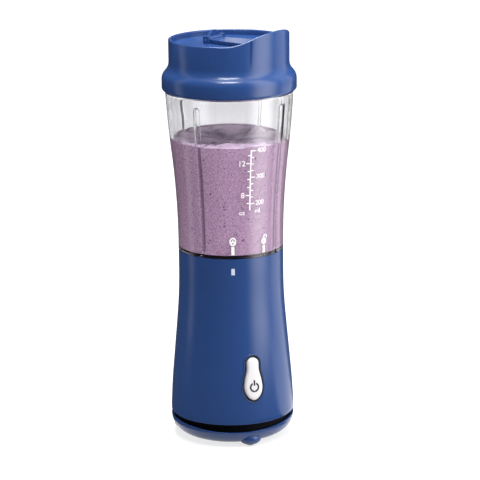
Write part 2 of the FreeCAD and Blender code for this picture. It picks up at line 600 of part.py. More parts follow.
well = new_body("jar_well")
well_out = "(housing_rim_r - housing_wall - screw_gap)"
WELL_TOP = f"({LEDGE_TOP} + well_high)"
revolve(well, [
    ("well_hole_r", LEDGE_TOP), (well_out, LEDGE_TOP), (well_out, WELL_TOP), (WELL_IN_R, WELL_TOP),
    (WELL_IN_R, WELL_FLOOR), ("well_hole_r", WELL_FLOOR)])
raise_up(well, lambda s: outline(s, ring_sector(f"{SKIRT_R} + skirt_gap - lug_overlap - skirt_gap / 4",
                                                f"{WELL_IN_R} + well_wall / 2", "lug_half_angle")),
         "well_lug_z", "well_lug_z + well_lug_high", "lug_count")
sink(well, lambda s: circle(s, "0", WELL_SCREW_CIRCLE, "screw_r + press_gap"),
     LEDGE_TOP, WELL_FLOOR, "well_screw_count")
keep(well, "jar_well")
well_screw_spots = [polar(WELL_SCREW_CIRCLE, f"90 + {number} * 360 / well_screw_count")
                    for number in range(SIZES["well_screw_count"])]
screws("well_screws", well_screw_spots, "(ledge_z - screw_head_high)", "screw_head_high",
       "screw_head_r", "screw_r", "ledge_thick + well_floor - screw_gap")

# ---------------------------------------------------------------- motor: fixed parts


def bracket(label, low, post_low, post_high, boss_low, boss_high):
    """A cross-shaped bracket with two posts to the field core and a boss for its bearing."""
    body = new_body(label)
    raise_up(body, lambda s: outline(s, cross_line()), low, f"{low} + bracket_thick")
    posts = [("0", "bolt_circle"), ("0", "0 - bolt_circle")]
    raise_up(body, lambda s: [circle(s, x, y, "post_r") for x, y in posts], post_low, post_high)
    raise_up(body, lambda s: circle(s, "0", "0", "bearing_boss_r"), boss_low, boss_high)
    sink(body, lambda s: circle(s, "0", "0", "bearing_r + press_gap"), boss_low, boss_high)
    bottom = post_low if label == "upper_bracket" else low
    top = f"{low} + bracket_thick" if label == "upper_bracket" else post_high
    sink(body, lambda s: [circle(s, x, y, "bolt_r + screw_gap") for x, y in posts], bottom, top)
    if label == "upper_bracket":
        sink(body, lambda s: [circle(s, x, y, "mount_screw_r + screw_gap") for x, y in mount_spots],
             low, f"{low} + bracket_thick")
    return keep(body, label)


def cross_line():
    """A cross with arms along X and along Y."""
    near, far, short = "arm_wide / 2", f"({MOUNT_CIRCLE} + mount_boss_r)", "bolt_circle + post_r + seat_gap"
    return [(near, near), (far, near), (far, f"0 - {near}"), (near, f"0 - {near}"), (near, f"0 - ({short})"),
            (f"0 - {near}", f"0 - ({short})"), (f"0 - {near}", f"0 - {near}"), (f"0 - {far}", f"0 - {near}"),
            (f"0 - {far}", near), (f"0 - {near}", near), (f"0 - {near}", short), (near, short)][::-1]


bracket("upper_bracket", UPPER_LOW, CORE_TOP, f"{UPPER_LOW} + bracket_thick / 2",
        f"{UPPER_TOP} - bearing_boss_long", UPPER_TOP)
bracket("lower_bracket", LOWER_LOW, f"{LOWER_LOW} + bracket_thick / 2", CORE_LOW, BOSS_LOW, LOWER_TOP)
tube("upper_bearing", "bearing_r", SHAFT_HOLE, f"{UPPER_TOP} - bearing_long", UPPER_TOP)
tube("lower_bearing", "bearing_r", SHAFT_HOLE, f"{LOWER_TOP} - bearing_long", LOWER_TOP)
for name in ("upper_bearing", "lower_bearing"):
    keep(doc.getObjectsByLabel(name)[0], name)

mounts = []
for number, (x, y) in enumerate(mount_spots):
    ring = rod(f"mount_ring_{number}", (x, y, UPPER_TOP), "mount_r", "mount_thick")
    bore = rod(f"mount_bore_{number}", (x, y, UPPER_TOP), "mount_screw_r + screw_gap", "mount_thick")
    mounts.append(carved(f"mount_{number}", ring, bore))
keep(grouped("motor_mounts", mounts), "motor_mounts")
screws("mount_screws", mount_spots, f"({UPPER_LOW} - screw_head_high)", "screw_head_high",
       "screw_head_r", "mount_screw_r", "bracket_thick + mount_thick + mount_boss_long + ledge_thick / 2")
bolt_spots = [("0", "bolt_circle"), ("0", "0 - bolt_circle")]
screws("field_bolts", bolt_spots, f"({LOWER_LOW} - screw_head_high)", "screw_head_high", "screw_head_r",
       "bolt_r", "2 * bracket_thick + lower_post + core_high + upper_post - screw_gap")

core = new_body("field_core")
half_long, half_wide, nip = "core_long / 2", "core_wide / 2", "core_corner"
raise_up(core, lambda s: outline(s, [
    (half_long, f"0 - ({half_wide} - {nip})"), (half_long, f"{half_wide} - {nip}"),
    (f"{half_long} - {nip}", half_wide, "tangent"), (f"0 - ({half_long} - {nip})", half_wide),
    (f"0 - ({half_long})", f"{half_wide} - {nip}", "tangent"), (f"0 - ({half_long})", f"0 - ({half_wide} - {nip})"),
    (f"0 - ({half_long} - {nip})", f"0 - ({half_wide})", "tangent"), (f"{half_long} - {nip}", f"0 - ({half_wide})"),
    ]), CORE_LOW, CORE_TOP)
sink(core, lambda s: circle(s, "0", "0", "core_bore_r"), CORE_LOW, CORE_TOP)
sink(core, lambda s: [circle(s, x, y, "bolt_r + screw_gap") for x, y in bolt_spots], CORE_LOW, CORE_TOP)


def four_slots(sketch):
    """The winding slots on both sides of each pole."""
    for x_side in ("", "0 - "):
        for y_side in ("", "0 - "):
            outline(sketch, [(f"{x_side}slot_in", f"{y_side}slot_near"), (f"{x_side}slot_out", f"{y_side}slot_near"),
                             (f"{x_side}slot_out", f"{y_side}slot_far"), (f"{x_side}slot_in", f"{y_side}slot_far")])


sink(core, four_slots, CORE_LOW, CORE_TOP)
keep(core, "field_core")

coils = []
for number, side in enumerate(("", "0 - ")):
    middle = (f"{side}(slot_in + slot_out) / 2", "0", f"{CORE_LOW} - coil_end")
    thick = "(slot_out - slot_in - 2 * coil_gap)"
    whole = block(f"coil_block_{number}", middle,
                  (thick, "2 * (slot_far - coil_gap)", "core_high + 2 * coil_end"))
    window = block(f"coil_window_{number}", (middle[0], "0", f"{CORE_LOW} - coil_gap"),
                   (thick, "2 * (slot_near + coil_gap)", "core_high + 2 * coil_gap"))
    coils.append(carved(f"coil_{number}", whole, window))
keep(grouped("field_coils", coils), "field_coils")

holders, brushes = [], []
for number, side in enumerate(("", "0 - ")):
    inner = "(commutator_r + 2 * brush_gap)"
    holder_mid = (f"{side}({inner} + holder_long / 2)", "0", LOWER_TOP)
    brush_low = f"{LOWER_TOP} + brush_rise - brush_high / 2"
    case = block(f"holder_case_{number}", holder_mid, ("holder_long", "holder_wide", "holder_high"))
    channel = block(f"holder_channel_{number}", (holder_mid[0], "0", f"{brush_low} - screw_gap"),
                    ("holder_long * 1.01", "brush_wide + 2 * screw_gap", "brush_high + 2 * screw_gap"))
    holders.append(carved(f"holder_{number}", case, channel))
    brush_mid = (f"{side}(commutator_r + brush_gap + brush_long / 2)", "0", brush_low)
    brushes.append(block(f"brush_{number}", brush_mid, ("brush_long", "brush_wide", "brush_high")))
keep(grouped("brush_holders", holders), "brush_holders")
keep(grouped("carbon_brushes", brushes), "carbon_brushes")

# ---------------------------------------------------------------- rotor

SHAFT_LOW = f"({FAN_LOW} - shaft_tail)"
keep(rod("shaft", ("0", "0", SHAFT_LOW), "shaft_r", f"{DRIVE_PLATE} - {SHAFT_LOW} - press_gap"), "rotor_shaft")

armature = new_body("armature_core")
bore = "(shaft_r + press_gap)"
revolve(armature, [(bore, CORE_LOW), ("armature_r", CORE_LOW), ("armature_r", CORE_TOP), (bore, CORE_TOP)])
sink(armature, lambda s: outline(s, [
    ("armature_r - armature_slot_deep", "0 - armature_slot_wide / 2"),
    ("armature_r + armature_slot_wide", "0 - armature_slot_wide / 2"),
    ("armature_r + armature_slot_wide", "armature_slot_wide / 2"),
    ("armature_r - armature_slot_deep", "armature_slot_wide / 2")]), CORE_LOW, CORE_TOP, "armature_slot_count")
keep(armature, "armature_core")


def end_turns(name, low, high):
    """The rounded bundle of wire where the armature's turns cross an end of its core."""
    body = new_body(name)
    span = f"({high} - ({low}))"
    revolve(body, [(bore, low), (f"winding_r - {span} / 3", low), ("winding_r", f"{low} + {span} / 3", "tangent"),
                   ("winding_r", f"{high} - {span} / 3"), (f"winding_r - {span} / 3", high, "tangent"), (bore, high)])
    return body


keep(grouped("armature_windings", [
    end_turns("upper_turns", CORE_TOP, f"{CORE_TOP} + winding_high"),
    end_turns("lower_turns", f"{CORE_LOW} - winding_low", CORE_LOW)]), "armature_windings")

commutator = new_body("commutator")
BARS_LOW = f"({LOWER_TOP} + commutator_rise)"
BARS_TOP = f"({BARS_LOW} + commutator_long)"
revolve(commutator, [(bore, BARS_LOW), ("commutator_r", BARS_LOW), ("commutator_r", BARS_TOP), (bore, BARS_TOP)])
sink(commutator, lambda s: outline(s, [
    ("commutator_r - commutator_slit_deep", "0 - commutator_slit / 2"),
    ("commutator_r + commutator_slit", "0 - commutator_slit / 2"),
    ("commutator_r + commutator_slit", "commutator_slit / 2"),
    ("commutator_r - commutator_slit_deep", "commutator_slit / 2")]), BARS_LOW, BARS_TOP, "commutator_bar_count")
keep(commutator, "commutator")

fan = new_body("cooling_fan")
revolve(fan, [(bore, FAN_LOW), ("fan_r", FAN_LOW), ("fan_r", f"{FAN_LOW} + fan_plate"),
              ("fan_hub_r", f"{FAN_LOW} + fan_plate"), ("fan_hub_r", FAN_TOP), (bore, FAN_TOP)])
raise_up(fan, lambda s: outline(s, [
    ("fan_hub_r + fan_blade_thick", "0 - fan_blade_thick / 2"), ("fan_r", "0 - fan_blade_thick / 2"),
    ("fan_r", "fan_blade_thick / 2"), ("fan_hub_r + fan_blade_thick", "fan_blade_thick / 2")]),
    f"{FAN_LOW} + fan_plate / 2", FAN_TOP, "fan_blade_count")
keep(fan, "cooling_fan")


def dogs(body, low, high, middle):
    """Drive teeth: ring sectors round the axis of a coupling."""
    raise_up(body, lambda s: outline(s, ring_sector("dog_in", "coupling_r", "dog_half_angle", middle)),
             low, high, "dog_count")


drive = new_body("motor_coupling")
revolve(drive, [("0", DRIVE_PLATE), ("coupling_r", DRIVE_PLATE), ("coupling_r", DRIVE_TOP), ("0", DRIVE_TOP)])
revolve(drive, [(bore, f"{DRIVE_PLATE} - coupling_hub_long"), ("coupling_hub_r", f"{DRIVE_PLATE} - coupling_hub_long"),
                ("coupling_hub_r", f"{DRIVE_PLATE} + coupling_plate / 2"), (bore, DRIVE_PLATE)])
dogs(drive, f"{DRIVE_PLATE} + coupling_plate / 2", f"{DRIVE_TOP} + dog_high", "0")
keep(drive, "motor_coupling")

# ---------------------------------------------------------------- blade set

driven = new_body("jar_coupling")
revolve(driven, [(bore, DRIVEN_PLATE), ("coupling_r", DRIVEN_PLATE), ("coupling_r", DRIVEN_TOP), (bore, DRIVEN_TOP)])
dogs(driven, DRIVEN_LOW, f"{DRIVEN_PLATE} + coupling_plate / 2", "180 / dog_count")
keep(driven, "jar_coupling")

HUB_TOP = f"({JAR_FLOOR_TOP} + hub_gasket_thick + hub_flange + hub_dome_high)"
BLADES_LOW = f"({HUB_TOP} + seal_high + blade_gap)"
SPACER_LOW = f"({BLADES_LOW} + blade_thick)"
UPPER_BLADES = f"({SPACER_LOW} + spacer_high)"
NUT_LOW = f"({UPPER_BLADES} + blade_thick)"
NUT_TOP = f"({NUT_LOW} + blade_nut_high)"
keep(rod("spindle", ("0", "0", DRIVEN_PLATE), "shaft_r", f"{NUT_TOP} - {DRIVEN_PLATE} - bracket_thick / 2"),
     "blade_shaft")


def blade_pair(label, low, tip_rise, turn):
    """A two-armed blade: a flat middle with the shaft hole, and arms that slant to tapered tips."""
    body = new_body(label)
    side = [("0 - blade_flat", low), ("blade_flat", low), ("blade_long", f"{low} + {tip_rise}"),
            ("blade_long", f"{low} + {tip_rise} + blade_thick"), ("blade_flat", f"{low} + blade_thick"),
            ("0 - blade_flat", f"{low} + blade_thick"), ("0 - blade_long", f"{low} + {tip_rise} + blade_thick"),
            ("0 - blade_long", f"{low} + {tip_rise}")]
    across(body, lambda s: outline(s, side), "XZ_Plane", "blade_wide / 2")
    far = f"{low} + {tip_rise} + 2 * blade_thick"
    sink(body, lambda s: [outline(s, [
        (f"{x}blade_flat", f"{y}blade_wide / 2"), (f"{x}blade_long * 1.1", f"{y}blade_tip_wide / 2"),
        (f"{x}blade_long * 1.1", f"{y}blade_wide")]) for x, y in (("", ""), ("0 - ", "0 - "))], low, far)
    sink(body, lambda s: circle(s, "0", "0", bore), low, f"{low} + 2 * blade_thick")
    body.Placement = Placement(Vector(), Rotation(Z, 10))
    bind(body, Placement__Rotation__Angle=turn)
    return keep(body, label)


blade_pair("lower_blades", BLADES_LOW, "lower_tip_rise", "rib_angle")
blade_pair("upper_blades", UPPER_BLADES, "upper_tip_rise", "rib_angle + 90")
keep(tube("blade_spacer", "spacer_r", bore, SPACER_LOW, UPPER_BLADES), "blade_spacer")
acorn = new_body("blade_nut")
six = [polar("blade_nut_r", f"{number} * 60 + 30") for number in range(6)]
raise_up(acorn, lambda s: outline(s, six), NUT_LOW, NUT_TOP)
revolve(acorn, [("0", NUT_TOP), ("blade_nut_r * 0.8", NUT_TOP), ("0", f"{NUT_TOP} + blade_nut_r * 0.6",
                                                            "blade_nut_r * 0.9")])
sink(acorn, lambda s: circle(s, "0", "0", bore), NUT_LOW, f"{NUT_TOP} - bracket_thick / 2")
keep(acorn, "blade_nut")

# ---------------------------------------------------------------- jar

NECK_LEDGE = f"({JAR_SEAT} + jar_neck_rise)"
SKIRT_IN_R = f"({SKIRT_R} - skirt_wall)"
SKIRT_LOW = f"({WELL_FLOOR} + skirt_gap)"
JAR_MID = f"({JAR_SEAT} + jar_mid_rise)"
JAR_HEEL = f"({JAR_SEAT} + jar_cone_rise)"
HEEL_RUN, HEEL_SPREAD = "(jar_mid_rise - jar_cone_rise)", f"({JAR_MID_R} - jar_wall - {JAR_HEEL_R})"
INNER_CURVE = f"({HEEL_RUN} ^ 2 + {HEEL_SPREAD} ^ 2) / (2 * {HEEL_SPREAD})"


def jar_side(extra="0"):
    """The outer line of the jar from its foot up to its shoulder, moved outwards by extra."""
    return [(f"{JAR_FOOT_R} + {extra}", JAR_SEAT),
            (f"{JAR_FOOT_R} + {extra}", f"{JAR_SEAT} + jar_shoulder"),
            (f"{JAR_MID_R} + {extra}", JAR_MID, "tangent"),
            (f"{JAR_TOP_R} + {extra}", f"{JAR_SEAT} + jar_top_rise", "tangent")]


jar = new_body("jar_shell")
revolve(jar, [
    (SKIRT_IN_R, JAR_FLOOR), (SKIRT_IN_R, SKIRT_LOW), (SKIRT_R, SKIRT_LOW), (SKIRT_R, JAR_SEAT), *jar_side(),
    (f"{JAR_TOP_R} - (jar_neck_rise - jar_top_rise)", NECK_LEDGE),
    (NECK_R, NECK_LEDGE), (NECK_R, JAR_RIM), (NECK_IN_R, JAR_RIM),
    (NECK_IN_R, NECK_LEDGE), (f"{NECK_IN_R} + jar_neck_flare", f"{NECK_LEDGE} - jar_neck_blend"),
    (f"{JAR_MID_R} - jar_wall", JAR_MID), (JAR_HEEL_R, JAR_HEEL, INNER_CURVE),
    (SKIRT_IN_R, f"{JAR_SEAT} + jar_shoulder"), (SKIRT_IN_R, JAR_FLOOR_TOP),
    ("hub_r + screw_gap", JAR_FLOOR_TOP), ("hub_r + screw_gap", JAR_FLOOR)])
JAR_LUG_TOP = "(well_lug_z - slide_gap - screw_gap)"
raise_up(jar, lambda s: outline(s, ring_sector(f"{SKIRT_R} - skirt_wall / 2", f"{WELL_IN_R} - skirt_gap / 4",
                                               "lug_half_angle")),
         f"{JAR_LUG_TOP} - jar_lug_high", JAR_LUG_TOP, "lug_count")


def thread(body, root, crest, turn):
    """Helical ridges, half a turn for each start, from a sketch of the ridge's section."""
    sketch = new_sketch(body, "XZ_Plane", turn=turn)
    middle = f"({NECK_LEDGE} + thread_low)"
    outline(sketch, [(root, f"{middle} - thread_foot / 2"), (crest, f"{middle} - thread_crest / 2"),
                     (crest, f"{middle} + thread_crest / 2"), (root, f"{middle} + thread_foot / 2")])
    ridge = body.newObject("PartDesign::AdditiveHelix", body.Label + "_thread")
    ridge.Profile = sketch
    ridge.ReferenceAxis = (sketch, ["V_Axis"])
    ridge.Mode = "pitch-height-angle"
    bind(ridge, Pitch="thread_lead", Height="thread_rise")
    spread(body, ridge, "thread_starts")


thread(jar, f"{NECK_R} - thread_root", f"{NECK_R} + jar_thread_deep", "0")


def rib_cross(name, wide, low):
    """Four upright bars with round tops, joined at the axis, from which the ribs take their width."""
    body = new_body(name)
    top = f"{JAR_SEAT} + rib_top_rise - {wide} / 2"
    bar = [(f"{wide} / 2", low), (f"{wide} / 2", top), ("0", f"{top} + {wide} / 2", "tangent"),
           (f"0 - {wide} / 2", top, "tangent"), (f"0 - {wide} / 2", low)]
    across(body, lambda s: outline(s, bar), "XZ_Plane", "ring_r * 1.1")
    across(body, lambda s: outline(s, bar), "YZ_Plane", "ring_r * 1.1")
    body.Placement = Placement(Vector(), Rotation(Z, 10))
    return bind(body, Placement__Rotation__Angle="rib_angle")


groove_band = new_body("groove_band")
revolve(groove_band, [
    *jar_side("0 - rib_deep"), (f"{JAR_TOP_R} + rib_wide", f"{JAR_SEAT} + jar_top_rise"),
    (f"{JAR_TOP_R} + rib_wide", JAR_SEAT)])
rib_band = new_body("rib_band")
PROUD = "inner_rib_proud"
revolve(rib_band, [
    (f"{JAR_HEEL_R} - {PROUD}", f"{JAR_SEAT} + jar_shoulder"), (f"{JAR_HEEL_R} - {PROUD}", JAR_HEEL),
    (f"{JAR_MID_R} - jar_wall - {PROUD}", JAR_MID, "tangent"),
    (f"{NECK_IN_R} - {PROUD}", f"{NECK_LEDGE} - jar_neck_blend"),
    (f"{NECK_IN_R} + jar_wall / 2", f"{NECK_LEDGE} - jar_neck_blend"),
    (f"{JAR_MID_R} - jar_wall * 0.7", JAR_MID), (f"{JAR_HEEL_R} + jar_wall * 0.3", JAR_HEEL),
    (f"{JAR_HEEL_R} + jar_wall * 0.3", f"{JAR_SEAT} + jar_shoulder")])
inner_ribs = shared("inner_ribs", rib_band, rib_cross("inner_cross", "inner_rib_wide", JAR_SEAT))
grooves = shared("grooves", groove_band, rib_cross("groove_cross", "rib_wide", JAR_SEAT))
keep(carved("jar", fused("ribbed_jar", [jar, inner_ribs]), grooves), "jar")

HUB_FOOT = f"({JAR_FLOOR} - hub_tail)"
FLANGE_FOOT = f"({JAR_FLOOR_TOP} + hub_gasket_thick)"
hub = new_body("blade_hub")
revolve(hub, [
    ("bushing_r + press_gap", HUB_FOOT), ("hub_r", HUB_FOOT), ("hub_r", FLANGE_FOOT),
    ("hub_flange_r", FLANGE_FOOT), ("hub_flange_r", f"{FLANGE_FOOT} + hub_flange / 2"),
    ("hub_dome_r", f"{FLANGE_FOOT} + hub_flange"), ("hub_dome_r * 0.8", HUB_TOP),
    ("bushing_r + press_gap", HUB_TOP)])
keep(hub, "blade_hub")
keep(tube("shaft_bushing", "bushing_r", SHAFT_HOLE, HUB_FOOT, f"{HUB_FOOT} + bushing_long"), "shaft_bushing")
keep(tube("shaft_seal", "seal_r", SHAFT_HOLE, HUB_TOP, f"{HUB_TOP} + seal_high"), "shaft_seal")
keep(tube("hub_gasket", "hub_flange_r - hub_gasket_thick", "hub_r + screw_gap", JAR_FLOOR_TOP, FLANGE_FOOT),
     "hub_gasket")
nut = new_body("hub_nut")
hexagon = [polar("hub_nut_r", f"{number} * 60") for number in range(6)]
raise_up(nut, lambda s: outline(s, hexagon), f"{JAR_FLOOR} - hub_nut_high", JAR_FLOOR)
sink(nut, lambda s: circle(s, "0", "0", "hub_r + press_gap"), f"{JAR_FLOOR} - hub_nut_high", JAR_FLOOR)
keep(nut, "hub_nut")

# ---------------------------------------------------------------- lid

keep(tube("lid_gasket", f"{NECK_R} - seat_gap", GASKET_IN_R, GASKET_LOW, f"{FLANGE_LOW} - screw_gap"), "lid_gasket")

lid = new_body("lid_shell")
LID_CREST = f"({LID_RIM} + spout_rise)"
NECK_CLEAR = f"({NECK_R} + neck_gap)"
lid_in, flange_in = f"({LID_TOP_R} - lid_wall)", f"({GASKET_IN_R} - flange_overlap)"
revolve(lid, [
    (RING_IN_R, LID_BASE), ("ring_r - ring_edge", LID_BASE),
    ("ring_r", f"{LID_BASE} + 1.3 * ring_edge", "ring_edge * 2"),
    ("ring_r", f"{LID_BASE} + ring_high"),
    ("ring_r - shoulder_mid_inset", f"{LID_BASE} + shoulder_mid_rise", "tangent"),
    (LID_TOP_R, f"{LID_BASE} + shoulder_rise", "tangent"),
    (LID_TOP_R, f"{LID_CREST} + deck_thick"), (lid_in, f"{LID_CREST} + deck_thick"), (lid_in, DECK_TOP),
    ("0", DECK_TOP), ("0", DECK_LOW), (lid_in, DECK_LOW), (lid_in, f"{FLANGE_LOW} + flange_thick"),
    (flange_in, f"{FLANGE_LOW} + flange_thick"), (flange_in, FLANGE_LOW), (NECK_CLEAR, FLANGE_LOW),
    (NECK_CLEAR, f"{FLANGE_LOW} - gasket_thick * 2"), (RING_IN_R, f"{LID_BASE} + ring_high")])
thread(lid, f"{RING_IN_R} + thread_root", f"{RING_IN_R} - lid_thread_deep", "90")

SLOPE_OUT, SLOPE_Z = "(spout_start + spout_bend)", f"({LID_RIM} + spout_bend_rise)"
FAR, HIGH = f"(2 * {LID_TOP_R} - {SLOPE_OUT})", f"(2 * {LID_CREST} - {SLOPE_Z})"
across(lid, lambda s: outline(s, [
    (f"0 - {FAR}", HIGH), (f"0 - {FAR}", LID_RIM), ("spout_start", LID_RIM), (SLOPE_OUT, SLOPE_Z, "tangent"),
    (FAR, HIGH)]), "XZ_Plane", "ring_r * 1.1", "PartDesign::Pocket", turn="spout_angle")
round_off(lid, "lid_rim_round", lambda edge: edge.BoundBox.ZMin > size(LID_RIM) - 0.1)
for out, radius in ((HOLE_OUT, "drink_hole_r"), (f"0 - {HOLE_OUT}", "vent_hole_r")):
    sink(lid, lambda s: circle(s, *polar(out, "spout_angle"), radius), DECK_LOW, DECK_TOP)


def along_spout(out, aside):
    """A level spot given by its distance towards the spout and its distance aside."""
    return (f"({out}) * cos(spout_angle) - ({aside}) * sin(spout_angle)",
            f"({out}) * sin(spout_angle) + ({aside}) * cos(spout_angle)")


EAR_IN, EAR_OUT = "barrel_half + slide_gap", "barrel_half + slide_gap + ear_thick"


def ear_lines(sketch):
    """Two upright ears on the deck that hold the hinge pin."""
    for side in ("", "0 - "):
        back, front = "hinge_out - ear_long / 2", "hinge_out + ear_long / 2"
        near, far = f"{side}({EAR_IN})", f"{side}({EAR_OUT})"
        outline(sketch, [along_spout(back, near), along_spout(front, near),
                         along_spout(front, far), along_spout(back, far)])


HINGE_Z = f"({DECK_TOP} + hinge_rise)"
raise_up(lid, ear_lines, f"{DECK_TOP} - deck_thick / 4", f"{HINGE_Z} + barrel_r")
across(lid, lambda s: circle(s, "hinge_out", HINGE_Z, "pin_r + press_gap"), "XZ_Plane", EAR_OUT,
       "PartDesign::Pocket", turn="spout_angle")
keep(lid, "lid_shell")

pin = new_body("cap_hinge_pin")
across(pin, lambda s: circle(s, "hinge_out", HINGE_Z, "pin_r"), "XZ_Plane", EAR_OUT, turn="spout_angle")
keep(pin, "cap_hinge_pin")

cap = new_body("flip_cap")
CAP_LOW = f"({DECK_TOP} + slide_gap + seat_gap)"
cap_tip, cap_end = f"({LID_TOP_R} - cap_tip_inset)", f"({LID_TOP_R} - cap_end_inset)"
raise_up(cap, lambda s: outline(s, [
    along_spout("hinge_out", "0 - cap_root_half"), along_spout(cap_tip, "0 - cap_tip_half"),
    along_spout(cap_end, "0") + (cap_end,), along_spout(cap_tip, "cap_tip_half") + (cap_end,),
    along_spout("hinge_out", "cap_root_half")]), CAP_LOW, f"{CAP_LOW} + cap_thick")
across(cap, lambda s: circle(s, "hinge_out", HINGE_Z, "barrel_r"), "XZ_Plane", "barrel_half", turn="spout_angle")
TAB_RISE = "(tab_high - hinge_rise)"
TAB_CURVE = f"(cap_root_half ^ 2 + {TAB_RISE} ^ 2) / (2 * {TAB_RISE})"
across(cap, lambda s: outline(s, [("0 - cap_root_half", HINGE_Z, TAB_CURVE), ("cap_root_half", HINGE_Z)]),
       "YZ_Plane", "tab_thick / 2", turn="spout_angle", lift="hinge_out")
across(cap, lambda s: circle(s, "hinge_out", HINGE_Z, "pin_r + pin_gap"), "XZ_Plane", "barrel_half * 1.1",
       "PartDesign::Pocket", turn="spout_angle")
keep(cap, "flip_cap")
keep(rod("plug", (*polar(HOLE_OUT, "spout_angle"), f"({DECK_TOP} - plug_deep)"),
         "drink_hole_r - plug_gap", f"plug_deep + {CAP_LOW} - {DECK_TOP}"), "drink_hole_plug")

# ---------------------------------------------------------------- button, switch and cord inlet

face = new_body("button_face")
across(face, lambda s: outline(s, button_line()), "XZ_Plane", "housing_foot_r * 1.2")
skin = new_body("button_skin")
revolve(skin, [*housing_side("button_proud"), ("housing_foot_r - button_deep", "housing_foot_z"),
               (f"{HIP_R} - button_deep", "housing_hip_z"), (f"{FLARE_R} - button_deep", "housing_flare_z"),
               ("housing_rim_r - button_deep", "housing_rim_z")])
front_block = block("front_block", ("0", "0 - housing_foot_r", "0"),
                    ("2 * housing_foot_r", "housing_foot_r", "housing_rim_z"))
cap_front = shared("cap_front", shared("curved_face", face, skin), front_block)
STEM_BACK = f"({SWITCH_FRONT} - button_travel - slide_gap)"
STEM_ROOT = f"({HIP_R} - button_deep)"
stem = rod("button_stem", ("0", STEM_BACK, "button_stem_z"), "button_stem_r",
           f"{STEM_ROOT} + {STEM_BACK}", lying=Vector(0, -1, 0))
keep(fused("power_button", [cap_front, stem]), "power_button")
keep(block("switch", ("0", f"{SWITCH_FRONT} + switch_deep / 2", SWITCH_LOW),
           ("switch_wide", "switch_deep", "switch_high")), "power_switch")

WALL_BACK = "housing_foot_r"
gland = fused("gland", [
    rod("gland_neck", ("0", f"{WALL_BACK} - grommet_in", "inlet_z"), "grommet_r",
        "grommet_in + grommet_lip", lying=Y),
    rod("gland_lip", ("0", f"{WALL_BACK} + press_gap", "inlet_z"), "grommet_lip_r", "grommet_lip", lying=Y),
    rod("gland_collar", ("0", f"{WALL_BACK} - grommet_in - grommet_lip", "inlet_z"), "grommet_lip_r",
        "grommet_lip", lying=Y)])
gland_bore = rod("gland_bore", ("0", f"{WALL_BACK} - 2 * grommet_in", "inlet_z"), "inlet_r",
                 "3 * grommet_in", lying=Y)
keep(carved("cord_grommet", gland, gland_bore), "cord_grommet")

# ---------------------------------------------------------------- check and write

doc.recompute()
failed = [thing.Label for thing in doc.Objects if {"Invalid", "Error"} & set(thing.State)]
if failed:
    raise ValueError(f"failed objects: {failed}")
os.makedirs("parts", exist_ok=True)
for piece in pieces:
    shape = piece.Shape
    if shape.isNull() or not shape.isValid() or not shape.Solids:
        raise ValueError(f"{piece.Label} has no sound shape")
for piece in pieces:
    piece.Shape.exportStep(f"parts/{piece.Label}.step")
    print(f"{piece.Label}: {len(piece.Shape.Solids)} solid(s), {piece.Shape.Volume:.0f} mm3")
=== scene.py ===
# %% [markdown]
# # Dressing a personal blender
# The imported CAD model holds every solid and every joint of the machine. This lesson leaves those where
# they are and gives them their looks: smooth moulded shells, a clear jar with a thick fruit drink in
# it, printed marks, rubber, steel and copper. All sizes are metres, +Z is up and the button faces -Y.

import math

import bmesh
import bpy
import numpy as np
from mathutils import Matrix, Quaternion, Vector, noise


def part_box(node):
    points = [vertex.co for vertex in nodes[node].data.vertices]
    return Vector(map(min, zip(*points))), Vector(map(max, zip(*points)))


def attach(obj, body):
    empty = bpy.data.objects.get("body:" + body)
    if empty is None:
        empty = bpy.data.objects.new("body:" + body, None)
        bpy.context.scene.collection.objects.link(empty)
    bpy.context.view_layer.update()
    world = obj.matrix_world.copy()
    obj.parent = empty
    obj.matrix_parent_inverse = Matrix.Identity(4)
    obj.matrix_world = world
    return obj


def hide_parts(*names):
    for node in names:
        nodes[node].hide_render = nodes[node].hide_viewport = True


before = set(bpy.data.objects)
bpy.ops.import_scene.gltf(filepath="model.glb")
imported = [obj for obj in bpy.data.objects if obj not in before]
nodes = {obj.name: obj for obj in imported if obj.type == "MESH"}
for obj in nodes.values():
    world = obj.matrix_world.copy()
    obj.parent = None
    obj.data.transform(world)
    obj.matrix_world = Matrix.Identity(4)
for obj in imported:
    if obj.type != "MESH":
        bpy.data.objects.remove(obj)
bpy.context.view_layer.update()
MM = 0.001

# %% [markdown]
# ## Camera
# A long lens from far away keeps the upright sides nearly parallel. The camera stands to the left of the
# button and looks down by fourteen degrees, so that the deck of the lid and the top of the drink show.

# %% Set up the camera
PICTURE_SIDE, FOCAL_PIXELS, SENSOR = 480, 2258.1, 36.0
CAMERA_PLACE = (-0.5607, -1.5028, 0.54626)
VIEW_TURN, VIEW_DIP, VIEW_ROLL = math.radians(20.7), math.radians(14.01), math.radians(0.55)
camera_data = bpy.data.cameras.new("camera")
camera_data.sensor_width = SENSOR
camera_data.lens = FOCAL_PIXELS / PICTURE_SIDE * SENSOR
camera = bpy.data.objects.new("camera", camera_data)
bpy.context.scene.collection.objects.link(camera)
looking = Vector((math.sin(VIEW_TURN) * math.cos(VIEW_DIP), math.cos(VIEW_TURN) * math.cos(VIEW_DIP),
                  -math.sin(VIEW_DIP)))
camera.location = CAMERA_PLACE
camera.rotation_mode = "QUATERNION"
camera.rotation_quaternion = Quaternion(looking, VIEW_ROLL) @ looking.to_track_quat("-Z", "Y")
bpy.context.scene.camera = camera
print("lens:", round(camera_data.lens, 2), "mm")

# %% [markdown]
# ## Shader maths in plain Python
# A material is a graph of nodes. Two small classes make graphs readable: `Wire` stands for one value that
# runs between nodes, so `wire * 2 - 1` adds the Math nodes that work it out, and `Graph.node` adds any
# other kind of node, with its settings first and its sockets second. `Finish` is a graph that ends in a
# Principled shader, and `Recipe` one that ends in a mesh. Two functions put new objects in the scene.

